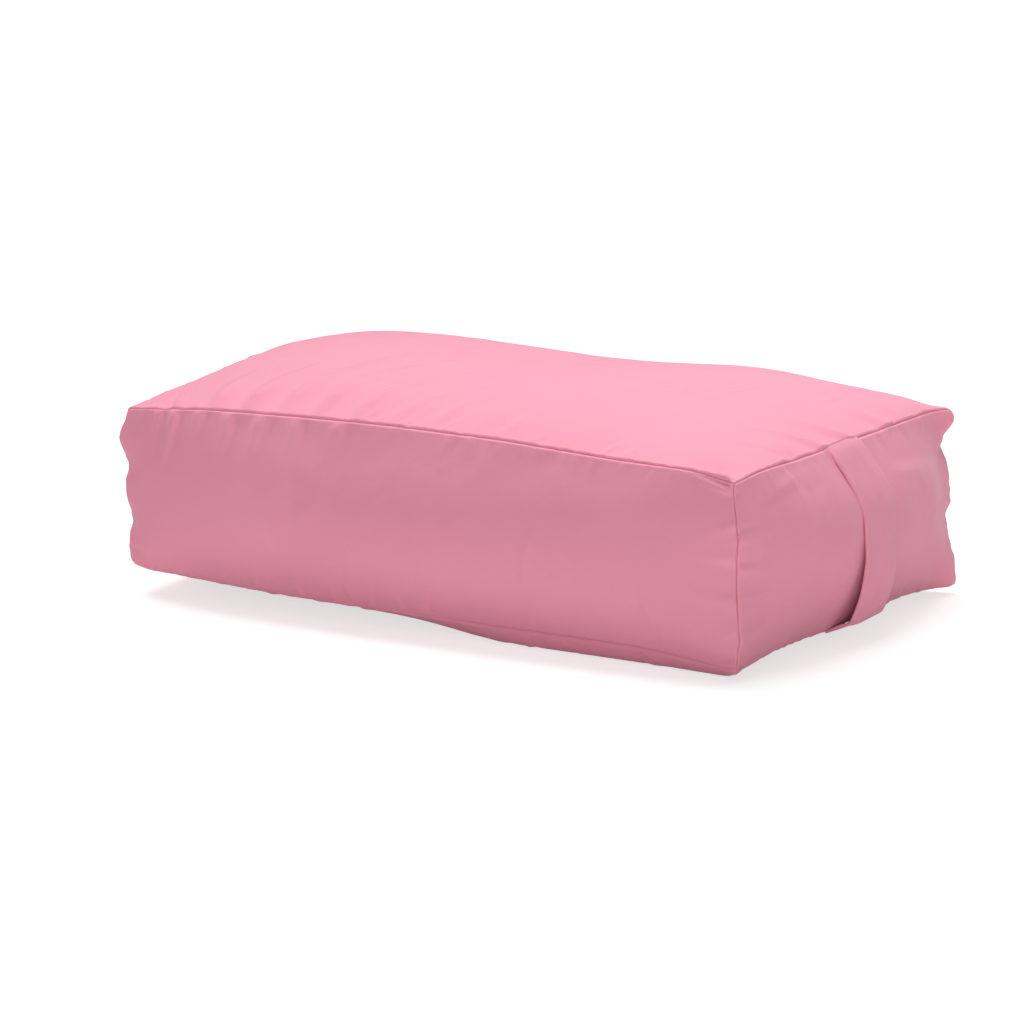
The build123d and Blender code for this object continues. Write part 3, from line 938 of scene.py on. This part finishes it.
def make_topstitch(material):
    """Two rows of stitches on the strips, along the zip."""
    length_a, length_b = spans("back")
    a = np.linspace(TOPSTITCH_END, length_a - TOPSTITCH_END, 400) / length_a
    parts = []
    for sign in (1, -1):
        b = np.array([(ZIP_Z - Z_LOW + sign * (ZIP_OPENING / 2 + TOPSTITCH_INSET)) / length_b])
        path = surface("back", a, b)[0][:, 0] + np.array([0, TOPSTITCH_PROUD, 0])
        lift = np.array([0, TOPSTITCH_LIFT, 0])
        parts.append(stitches(path, lift, TOPSTITCH_THREAD, TOPSTITCH_PITCH, TOPSTITCH_SHARE))
    placed("zip_topstitch", joined(parts), material)


# ---- strap ----
def strap_path():
    """Down the end panel's middle: against it at the top, standing off lower down, then tucked under."""
    height = np.linspace(1, 0, 60)
    middle_of_end = surface("right", np.array([0.5]), height)[0][0]
    low = np.clip((STRAP_SLACK - height) / (STRAP_SLACK - STRAP_KNEE), 0, 1)
    stand_off = STRAP_LIFT + STRAP_GAP * low**1.15
    stand_off = np.where(height > 1 - STRAP_KNEE, STRAP_LIFT * (1 - height) / STRAP_KNEE, stand_off)
    knee = height > STRAP_KNEE
    xs = (middle_of_end[:, 0] + stand_off)[knee]
    zs = middle_of_end[:, 2][knee]
    start = [(middle_of_end[0, 0] - 3 * MM, middle_of_end[0, 2] + 0.5 * MM)]
    turn = np.linspace(0, STRAP_TURN, 16)[1:]
    curl = [(xs[-1] - STRAP_CURL * (1 - math.cos(t)), zs[-1] - STRAP_CURL * math.sin(t)) for t in turn]
    seam = middle_of_end[-1]
    flat = start + list(zip(xs[1:], zs[1:])) + curl + [(seam[0] - 2 * MM, seam[2] - 1.5 * MM)]
    path = np.array([(x, 0.0, z) for x, z in flat])
    path = along(path, 2 * MM)
    for _ in range(6):
        path[1:-1] = (path[:-2] + 2 * path[1:-1] + path[2:]) / 4
    return path


def make_strap(material):
    """Self-fabric strap folded to a flat band, from the top seam to the bottom seam."""
    path = strap_path()
    steps = distance_run(path)
    share = steps / steps[-1]
    forward = unit(np.gradient(path, axis=0))
    across = np.array([0, 1.0, 0])
    out = unit(np.cross(across[None], forward) * -1)
    profile_y, profile_t = strap_section()
    y = profile_y[None, :] * (STRAP_WIDTH / 2)
    wave = STRAP_WAVE * np.sin(share * 9.0)[:, None] * profile_y[None, :] ** 2
    lumps = [[noise.noise(Vector((s * 7, p * 1.6, 3.1))) for p in profile_y] for s in share]
    dents = np.array(lumps) * STRAP_DENTS
    cup = -STRAP_CUP * profile_y[None, :] ** 2
    lift = profile_t[None, :] * (STRAP_THICKNESS / 2) + wave * 0.5 + dents + cup
    grid = path[:, None] + across * y[..., None] + out[:, None] * lift[..., None]
    obj = make_object("handle_strap", grid.reshape(-1, 3), tube_faces(*grid.shape[:2], flip=True))
    uv = np.stack(np.broadcast_arrays(profile_y[None, :] * STRAP_WIDTH / 2, steps[:, None]), axis=-1)
    finish_mesh(obj, uv.reshape(-1, 2), material)
    fit_sheet(obj, "handle_strap")


def strap_section():
    """Half-width share and half-thickness share round the band, with fat folded edges."""
    flat, round_y, round_t = np.linspace(-0.97, 0.97, 31), np.array([0.99, 1.0, 0.99]), [0.6, 0.0, -0.6]
    y = np.concatenate([flat, round_y, flat[::-1], -round_y])
    fat_edge = 0.12 * np.exp(-(((np.abs(y) - 0.9) / 0.07) ** 2))
    groove = 0.1 * np.exp(-(((np.abs(y) - 0.78) / 0.06) ** 2))
    sign = np.concatenate([np.ones(31), round_t, -np.ones(31), round_t[::-1]])
    return y, sign * (1 + fat_edge - groove)


# ---- zip ----
def coil_half(sign):
    """A spiral of nylon filament, flattened, sewn along one tape's inner edge."""
    end = STOP_CENTRE - STOP_REACH
    turns = round(2 * end / COIL_PITCH)
    t = np.linspace(0, turns, turns * 12 + 1)
    angle = 2 * math.pi * t
    centre_z = ZIP_Z + sign * (TAPE_GAP / 2 + COIL_REACH + FILAMENT)
    x = -end + t * COIL_PITCH + COIL_LEAN * np.sin(angle)
    y = TAPE_FRONT + COIL_DEPTH + FILAMENT + COIL_DEPTH * np.sin(angle)
    z = centre_z + sign * -COIL_REACH * np.cos(angle)
    return tube(np.stack([x, y, z], axis=1), FILAMENT, 6)


def make_zip(tape_material, coil_material):
    tape_end = LENGTH / 2 - TAPE_END_GAP
    for sign, half in ((1, "upper"), (-1, "lower")):
        x = np.linspace(-tape_end, tape_end, 500)
        run = np.linspace(0, TAPE_WIDTH, 15)
        z = ZIP_Z + sign * (TAPE_GAP / 2 + run)
        grid_x, grid_z = np.meshgrid(x, z, indexing="ij")
        ripple = np.array([noise.noise(Vector((v * 30, sign, 0))) for v in x]) * TAPE_RIPPLE
        outer = np.stack([grid_x, np.full_like(grid_x, TAPE_FRONT) + ripple[:, None], grid_z], axis=-1)
        inner = outer - np.array([0, TAPE, 0])
        if sign > 0:
            outer, inner, x = outer[::-1], inner[::-1], x[::-1]
        name = f"zip_tape_{half}"
        obj = thick_sheet(name, outer, inner, x, run, tape_material)
        fit_sheet(obj, name)
        placed(f"zip_coil_{half}", coil_half(sign), coil_material, node=f"zip_coil_{half}")


# ---- liner and filling ----
def inset_grid(side, inset, cell):
    """The cover's side moved inwards, on a coarse grid that still meets its neighbours."""
    length_a, length_b = spans(side)
    a = np.linspace(0, 1, round(length_a / cell) + 1)
    b = np.linspace(0, 1, round(length_b / cell) + 1)
    grid = pillow_points(side, a, b, inset)
    w_a, w_b = cubic_weights(a, cover[side].shape[0]), cubic_weights(b, cover[side].shape[1])
    blown = spread_grid(w_a, w_b, cover[side])
    drift = blown - pillow_points(side, a, b, 0.0)
    grid = grid + drift
    grid[..., 1] = np.minimum(grid[..., 1], WIDTH / 2 - inset)
    return grid


def make_liner(material):
    for side in ("top", "bottom", "front", "back", "left", "right"):
        name = f"liner_{side}_panel"
        outer = inset_grid(side, LINER_INSET, LINER_CELL)
        outer[..., 2] = np.maximum(outer[..., 2], LINER_INSET)
        inner = outer - grid_normals(outer) * LINER
        u = np.linspace(0, spans(side)[0], outer.shape[0])
        v = np.linspace(0, spans(side)[1], outer.shape[1])
        obj = thick_sheet(name, outer, inner, u, v, material)
        fit_sheet(obj, name)


def filling_shell():
    """The closed surface of the whole filling as one bmesh."""
    parts = []
    for side in SIDES:
        grid = inset_grid(side, FILL_INSET + FIBRE_GAP, FIBRE_CELL)
        grid[..., 2] = np.maximum(grid[..., 2], FILL_INSET)
        ids = np.arange(grid.shape[0] * grid.shape[1]).reshape(grid.shape[:2])
        parts.append((grid.reshape(-1, 3), grid_faces(ids)))
    verts, faces = joined(parts)
    bm = bmesh.new()
    made = [bm.verts.new(v) for v in verts]
    for face in faces:
        bm.faces.new([made[k] for k in face])
    bmesh.ops.remove_doubles(bm, verts=bm.verts, dist=0.2 * MM)
    return bm


def cut_filling(low, high):
    """The part of the filling between two heights, closed."""
    bm = filling_shell()
    for height, up in ((low, False), (high, True)):
        if height is None:
            continue
        geom = bm.verts[:] + bm.edges[:] + bm.faces[:]
        normal = (0, 0, 1 if up else -1)
        plane = {"plane_co": (0, 0, height), "plane_no": normal, "clear_outer": True}
        result = bmesh.ops.bisect_plane(bm, geom=geom, **plane)
        edges = [e for e in result["geom_cut"] if isinstance(e, bmesh.types.BMEdge)]
        bmesh.ops.holes_fill(bm, edges=edges, sides=0)
    mesh = bpy.data.meshes.new("filling")
    bm.to_mesh(mesh)
    bm.free()
    return link_mesh("filling", mesh)


def remeshed(obj, voxel):
    """The object's closed shape as even quads, replacing its mesh."""
    modifier = obj.modifiers.new("Remesh", "REMESH")
    modifier.mode = "VOXEL"
    modifier.voxel_size = voxel
    applied(obj)


def applied(obj):
    graph = bpy.context.evaluated_depsgraph_get()
    mesh = bpy.data.meshes.new_from_object(obj.evaluated_get(graph))
    obj.modifiers.clear()
    obj.data = mesh
    return obj


def lumpy(obj, depth, scale):
    """Draws the surface in by noise, so that it never grows."""
    mesh = obj.data
    count = len(mesh.vertices) * 3
    points, normals = np.zeros(count), np.zeros(count)
    mesh.vertices.foreach_get("co", points)
    mesh.vertices.foreach_get("normal", normals)
    points = points.reshape(-1, 3)
    lumps = np.array([noise.fractal(Vector(p * scale), 1.0, 2.0, 3) for p in points])
    points -= normals.reshape(-1, 3) * (depth * (0.6 + 0.5 * lumps))[:, None]
    mesh.vertices.foreach_set("co", points.ravel())
    mesh.update()


def padding(obj, name, material):
    obj.name = "made_" + name
    obj.data.name = name
    obj.data.shade_smooth()
    obj.data.materials.clear()
    obj.data.materials.append(material)
    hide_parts(name)
    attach(obj, "cushion")


def make_core():
    """The foam slab with its edges rounded."""
    half = (LENGTH / 2 - FOAM_MARGIN, WIDTH / 2 - FOAM_MARGIN, (FOAM_TOP - FOAM_BOTTOM) / 2)
    middle = Vector((0, 0, (FOAM_TOP + FOAM_BOTTOM) / 2))
    bm = bmesh.new()
    bmesh.ops.create_cube(bm, size=2.0)
    for v in bm.verts:
        v.co = middle + Vector([v.co[k] * half[k] for k in range(3)])
    bmesh.ops.bevel(bm, geom=bm.edges[:], offset=FOAM_ROUND, segments=4, affect="EDGES", profile=0.5)
    mesh = bpy.data.meshes.new("foam_core")
    bm.to_mesh(mesh)
    bm.free()
    return link_mesh("foam_core", mesh)


def make_filling(fibre, foam):
    core = make_core()
    ring = cut_filling(FOAM_BOTTOM, FOAM_TOP)
    cut = ring.modifiers.new("Boolean", "BOOLEAN")
    cut.object = core
    cut.operation = "DIFFERENCE"
    layers = {
        "fibre_side_wrap": applied(ring),
        "fibre_bottom_layer": cut_filling(None, FOAM_BOTTOM),
        "fibre_top_layer": cut_filling(FOAM_TOP, None),
    }
    for name, layer in layers.items():
        remeshed(layer, FIBRE_VOXEL)
        lumpy(layer, 0.8 * MM, 22)
        padding(layer, name, fibre)
    remeshed(core, FOAM_VOXEL)
    lumpy(core, 0.3 * MM, 60)
    padding(core, "foam_core", foam)


def make_label(material):
    low, high = (np.array(c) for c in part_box("care_label"))
    u = np.linspace(low[0], high[0], 24)
    v = np.linspace(low[2], high[2], 28)
    x, z = np.meshgrid(u, v, indexing="ij")
    curl = LABEL_CURL * np.sin((v - low[2]) / (high[2] - low[2]) * 3.0)
    outer = np.stack([x, np.full_like(x, high[1]) - curl[None], z], axis=-1)[::-1]
    inner = outer - np.array([0, LABEL, 0])
    obj = thick_sheet("care_label", outer, inner, u[::-1], v, material)
    fit_sheet(obj, "care_label")


# ---- colours ----
WHITE = (1, 1, 1)
PINK_SHEEN = (1, 0.8, 0.86)
PINK = {"light": (0.865, 0.335, 0.445), "dark": (0.73, 0.252, 0.342)}
TAPE_PINK = {"light": (0.74, 0.25, 0.34), "dark": (0.6, 0.18, 0.26)}
THREAD_PINK = {"light": (0.82, 0.30, 0.40), "dark": (0.66, 0.2, 0.29)}
COIL_PINK = {"light": (0.72, 0.24, 0.33), "dark": (0.60, 0.17, 0.25)}
CALICO = {"light": (0.83, 0.78, 0.68), "dark": (0.70, 0.64, 0.53)}
RIBBON = {"light": (0.90, 0.90, 0.88), "dark": (0.82, 0.82, 0.80)}
FIBRE = {"light": (0.93, 0.92, 0.89), "dark": (0.74, 0.73, 0.69)}
FOAM = {"light": (0.90, 0.85, 0.66), "dark": (0.72, 0.64, 0.40)}
NICKEL = {"light": (0.70, 0.69, 0.66), "dark": (0.52, 0.51, 0.49)}


# ---- materials ----
class Nodes:
    """Short calls for building a material's node tree."""

    def __init__(self, name):
        self.material = bpy.data.materials.new(name)
        self.material.use_nodes = True
        self.tree = self.material.node_tree
        self.surface = self.tree.nodes["Principled BSDF"]

    def add(self, kind, **values):
        node = self.tree.nodes.new(kind)
        for key, value in values.items():
            setattr(node, key, value)
        return node

    def link(self, source, target):
        self.tree.links.new(source, target)

    def put(self, socket, value):
        if isinstance(value, bpy.types.NodeSocket):
            self.link(value, socket)
        else:
            socket.default_value = value

    def math(self, operation, a, b=0.0, c=0.0):
        node = self.add("ShaderNodeMath", operation=operation)
        for k, value in enumerate((a, b, c)):
            self.put(node.inputs[k], value)
        return node.outputs[0]

    def noise(self, scale, detail=3.0, vector=None, roughness=0.5):
        node = self.add("ShaderNodeTexNoise")
        node.inputs["Scale"].default_value = scale
        node.inputs["Detail"].default_value = detail
        node.inputs["Roughness"].default_value = roughness
        self.link(vector or self.place(), node.inputs["Vector"])
        return node.outputs["Fac"]

    def place(self):
        return self.add("ShaderNodeTexCoord").outputs["Object"]

    def cloth_uv(self):
        return self.add("ShaderNodeUVMap", uv_map="cloth").outputs["UV"]

    def split(self, vector):
        node = self.add("ShaderNodeSeparateXYZ")
        self.link(vector, node.inputs[0])
        return node.outputs

    def spread(self, value, low, high):
        """Maps 0..1 to low..high."""
        return self.math("MULTIPLY_ADD", value, high - low, low)

    def tint(self, factor, dark, light):
        node = self.add("ShaderNodeMix", data_type="RGBA")
        self.put(node.inputs["Factor"], factor)
        node.inputs["A"].default_value = (*dark, 1)
        node.inputs["B"].default_value = (*light, 1)
        return node.outputs["Result"]

    def bump(self, height, distance, strength=1.0, after=None):
        node = self.add("ShaderNodeBump")
        node.inputs["Strength"].default_value = strength
        node.inputs["Distance"].default_value = distance
        self.link(height, node.inputs["Height"])
        if after is not None:
            self.link(after, node.inputs["Normal"])
        return node.outputs["Normal"]

    def finish(self, **values):
        for key, value in values.items():
            self.put(self.surface.inputs[key.replace("_", " ")], value)
        return self.material


def weave(n, period, diagonal):
    """Height of a weave from the cloth's UVs: diagonal ribs for twill, a grid for plain weave."""
    parts = n.split(n.cloth_uv())
    wobble = n.math("MULTIPLY", n.noise(60.0, 2.0), period * 2.5)
    u = n.math("ADD", parts[0], wobble)
    v = parts[1]
    turn = 2 * math.pi / period
    if diagonal:
        slope = n.math("ADD", n.math("MULTIPLY", u, turn * 0.5), n.math("MULTIPLY", v, turn * 0.87))
        ribs = n.math("SINE", slope)
        cross = n.math("SINE", n.math("MULTIPLY", u, turn * 1.9))
        return n.math("ADD", n.math("MULTIPLY", ribs, 0.4), n.math("MULTIPLY_ADD", cross, 0.12, 0.5))
    warp = n.math("SINE", n.math("MULTIPLY", u, turn))
    weft = n.math("SINE", n.math("MULTIPLY", v, turn))
    return n.math("MULTIPLY_ADD", n.math("MULTIPLY", warp, weft), 0.5, 0.5)


def cloth_material(name, light, dark, period, diagonal, relief, sheen, rough=(0.78, 0.92)):
    """Woven cloth: pale and dark threads by weave, cloudiness and slubs. A diagonal weave is pink."""
    n = Nodes(name)
    height = weave(n, period, diagonal)
    cloudy = n.noise(9.0, 3.0)
    slub = n.noise(420.0, 2.0)
    mix = n.math("ADD", n.math("MULTIPLY", height, 0.45), n.math("MULTIPLY", cloudy, 0.35))
    mix = n.math("ADD", mix, n.math("MULTIPLY", slub, 0.2))
    normal = n.bump(height, relief)
    normal = n.bump(slub, relief * 0.8, 0.5, after=normal)
    normal = n.bump(n.noise(130.0, 3.0), 0.1 * MM, 0.3, after=normal)
    return n.finish(
        Base_Color=n.tint(mix, dark, light),
        Roughness=n.spread(slub, *rough),
        Normal=normal,
        Sheen_Weight=sheen,
        Sheen_Roughness=0.45,
        Sheen_Tint=(*(PINK_SHEEN if diagonal else WHITE), 1),
        Specular_IOR_Level=0.25,
    )


def fibre_material():
    n = Nodes("fibre")
    fine = n.noise(260.0, 6.0, roughness=0.7)
    broad = n.noise(18.0, 3.0)
    mix = n.math("ADD", n.math("MULTIPLY", fine, 0.7), n.math("MULTIPLY", broad, 0.3))
    return n.finish(
        Base_Color=n.tint(mix, **FIBRE),
        Roughness=n.spread(fine, 0.85, 1.0),
        Normal=n.bump(fine, 1.2 * MM),
        Sheen_Weight=0.4,
        Specular_IOR_Level=0.1,
    )


def foam_material():
    n = Nodes("foam")
    cells = n.add("ShaderNodeTexVoronoi", feature="F1")
    cells.inputs["Scale"].default_value = 700.0
    n.link(n.place(), cells.inputs["Vector"])
    height = cells.outputs["Distance"]
    broad = n.noise(14.0, 3.0)
    mix = n.math("ADD", n.math("MULTIPLY", height, 0.6), n.math("MULTIPLY", broad, 0.4))
    return n.finish(
        Base_Color=n.tint(mix, **FOAM),
        Roughness=n.spread(height, 0.8, 0.98),
        Normal=n.bump(height, 0.4 * MM),
        Specular_IOR_Level=0.15,
    )


def thread_material():
    n = Nodes("thread")
    twist = n.noise(1800.0, 2.0)
    return n.finish(
        Base_Color=n.tint(twist, **THREAD_PINK),
        Roughness=n.spread(twist, 0.45, 0.7),
        Normal=n.bump(twist, 0.05 * MM),
        Sheen_Weight=0.2,
    )


def coil_material():
    n = Nodes("zip_coil")
    grain = n.noise(900.0, 2.0)
    return n.finish(
        Base_Color=n.tint(grain, **COIL_PINK),
        Roughness=n.spread(grain, 0.28, 0.42),
        Normal=n.bump(grain, 0.02 * MM),
    )


def metal_material():
    n = Nodes("zip_metal")
    stretch = n.add("ShaderNodeMapping")
    stretch.inputs["Scale"].default_value = (1, 8, 8)
    n.link(n.place(), stretch.inputs["Vector"])
    brushed = n.noise(900.0, 4.0, stretch.outputs["Vector"])
    dull = n.noise(160.0, 3.0)
    rough = n.math("ADD", n.math("MULTIPLY", brushed, 0.12), n.spread(dull, 0.14, 0.3))
    return n.finish(
        Base_Color=n.tint(dull, **NICKEL),
        Metallic=1.0,
        Roughness=rough,
        Normal=n.bump(brushed, 0.03 * MM),
    )


def dress_metal(material):
    """The slider, its pull and the stops keep their CAD shapes, with their edges softened."""
    for name in ("zip_slider", "zip_pull_tab", "zip_top_stop", "zip_bottom_stop"):
        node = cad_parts[name]
        bevel = node.modifiers.new("Bevel", "BEVEL")
        bevel.width = METAL_EDGE
        bevel.segments = 2
        bevel.limit_method = "ANGLE"
        bevel.angle_limit = math.radians(35)
        for material_slot in node.material_slots:
            material_slot.link = "OBJECT"
            material_slot.material = material


# ---- camera, light and floor ----
AMBIENT = 0.20
BACKDROP = 1.05  # brightness of the backdrop as the camera sees it
BOUNCE = 0.92  # share of the light the floor throws back at the bolster
FLOOR_LIT, FLOOR_GLOW = 0.5, 0.66  # the floor as the camera sees it: white, with a faint shadow
LAMPS = (("key", 246, 52, 2.1, 26), ("fill", 33, 7, 1.12, 30))
OVERHEAD_PLACE, OVERHEAD_SIZE, OVERHEAD_POWER = (0.20, 0.14, 1.3), 0.7, 10.0
CAMERA_AZIMUTH, CAMERA_ELEVATION = 31.5, 12.8
CAMERA_DISTANCE = 5.155
CAMERA_LENS = 211.0
CAMERA_SHIFT = (-0.020, -0.0236)  # to the right and up, from the middle of the object
CAMERA_HEIGHT = 0.094
FLOOR_REACH = 30.0


def outward(azimuth, elevation):
    """Unit vector towards a direction given in degrees, azimuth 0 in front and 90 at the handle end."""
    az, el = math.radians(azimuth), math.radians(elevation)
    return Vector((math.sin(az) * math.cos(el), -math.cos(az) * math.cos(el), math.sin(el)))


def turned(obj, direction):
    obj.rotation_mode = "QUATERNION"
    obj.rotation_quaternion = direction.to_track_quat("Z", "Y")


def make_floor():
    mesh = bpy.data.meshes.new("floor")
    corners = [(x * FLOOR_REACH, y * FLOOR_REACH, 0) for x, y in ((-1, -1), (1, -1), (1, 1), (-1, 1))]
    mesh.from_pydata(corners, [], [(0, 1, 2, 3)])
    floor = bpy.data.objects.new("floor", mesh)
    bpy.context.scene.collection.objects.link(floor)
    n = Nodes("floor")
    pale = n.tint(n.noise(4.0, 2.0), (FLOOR_LIT - 0.01,) * 3, (FLOOR_LIT + 0.01,) * 3)
    seen = n.add("ShaderNodeMix", data_type="RGBA")
    viewed = n.add("ShaderNodeLightPath").outputs["Is Camera Ray"]
    n.link(viewed, seen.inputs["Factor"])
    seen.inputs["A"].default_value = (BOUNCE, BOUNCE, BOUNCE, 1)
    n.link(pale, seen.inputs["B"])
    n.finish(
        Base_Color=seen.outputs["Result"],
        Roughness=0.9,
        Specular_IOR_Level=0.0,
        Emission_Color=(*WHITE, 1),
        Emission_Strength=n.math("MULTIPLY", viewed, FLOOR_GLOW),
    )
    mesh.materials.append(n.material)


def make_backdrop():
    """A world that lights the scene by AMBIENT and looks white to the camera."""
    world = bpy.data.worlds.new("studio")
    world.use_nodes = True
    tree = world.node_tree
    background = tree.nodes["Background"]
    background.inputs["Color"].default_value = (*WHITE, 1)
    viewed = tree.nodes.new("ShaderNodeLightPath")
    strength = tree.nodes.new("ShaderNodeMath")
    strength.operation = "MULTIPLY_ADD"
    strength.inputs[1].default_value = BACKDROP - AMBIENT
    strength.inputs[2].default_value = AMBIENT
    tree.links.new(viewed.outputs["Is Camera Ray"], strength.inputs[0])
    tree.links.new(strength.outputs[0], background.inputs["Strength"])
    bpy.context.scene.world = world


def add_light(name, kind, energy):
    lamp = bpy.data.lights.new(name, kind)
    lamp.energy = energy
    obj = bpy.data.objects.new(name, lamp)
    bpy.context.scene.collection.objects.link(obj)
    return obj


def make_lights():
    for name, azimuth, elevation, energy, angle in LAMPS:
        sun = add_light(name, "SUN", energy)
        sun.data.angle = math.radians(angle)
        turned(sun, outward(azimuth, elevation))
    overhead = add_light("overhead", "AREA", OVERHEAD_POWER)
    overhead.data.shape = "DISK"
    overhead.data.size = OVERHEAD_SIZE
    overhead.location = OVERHEAD_PLACE


def make_stage():
    make_floor()
    make_backdrop()
    make_lights()
    bpy.context.scene.view_settings.view_transform = "Standard"


def make_camera():
    camera = bpy.data.objects.new("camera", bpy.data.cameras.new("camera"))
    bpy.context.scene.collection.objects.link(camera)
    bpy.context.scene.camera = camera
    camera.data.lens = CAMERA_LENS
    camera.data.clip_end = 100
    back = outward(CAMERA_AZIMUTH, CAMERA_ELEVATION)
    az = math.radians(CAMERA_AZIMUTH)
    right = Vector((math.cos(az), math.sin(az), 0))
    middle = Vector((0, 0, CAMERA_HEIGHT + CAMERA_SHIFT[1]))
    camera.location = middle + back * CAMERA_DISTANCE + right * CAMERA_SHIFT[0]
    turned(camera, back)


# ---- build ----
def make_cover(twill):
    full_panel("cover_top_panel", "top", twill)
    full_panel("cover_bottom_panel", "bottom", twill)
    full_panel("cover_front_panel", "front", twill)
    full_panel("cover_handle_end_panel", "right", twill)
    full_panel("cover_plain_end_panel", "left", twill)
    back_strip("cover_back_upper_strip", True, twill)
    back_strip("cover_back_lower_strip", False, twill)


cover = simulate_cover()
folds = all_folds()
pink_twill = cloth_material("cover", **PINK, period=1.1 * MM, diagonal=True, relief=0.12 * MM, sheen=0.3)
calico = cloth_material("liner", **CALICO, period=0.9 * MM, diagonal=False, relief=0.08 * MM, sheen=0.15)
tape_cloth = cloth_material(
    "zip_tape", **TAPE_PINK, period=0.8 * MM, diagonal=True, relief=0.1 * MM, sheen=0.2
)
satin = cloth_material(
    "label", **RIBBON, period=0.4 * MM, diagonal=False, relief=0.02 * MM, sheen=0.1, rough=(0.3, 0.4)
)
pink_thread = thread_material()

make_cover(pink_twill)
make_strap(pink_twill)
make_topstitch(pink_thread)
make_zip(tape_cloth, coil_material())
dress_metal(metal_material())
make_threads(pink_thread)
make_liner(calico)
make_filling(fibre_material(), foam_material())
make_label(satin)
make_stage()
make_camera()
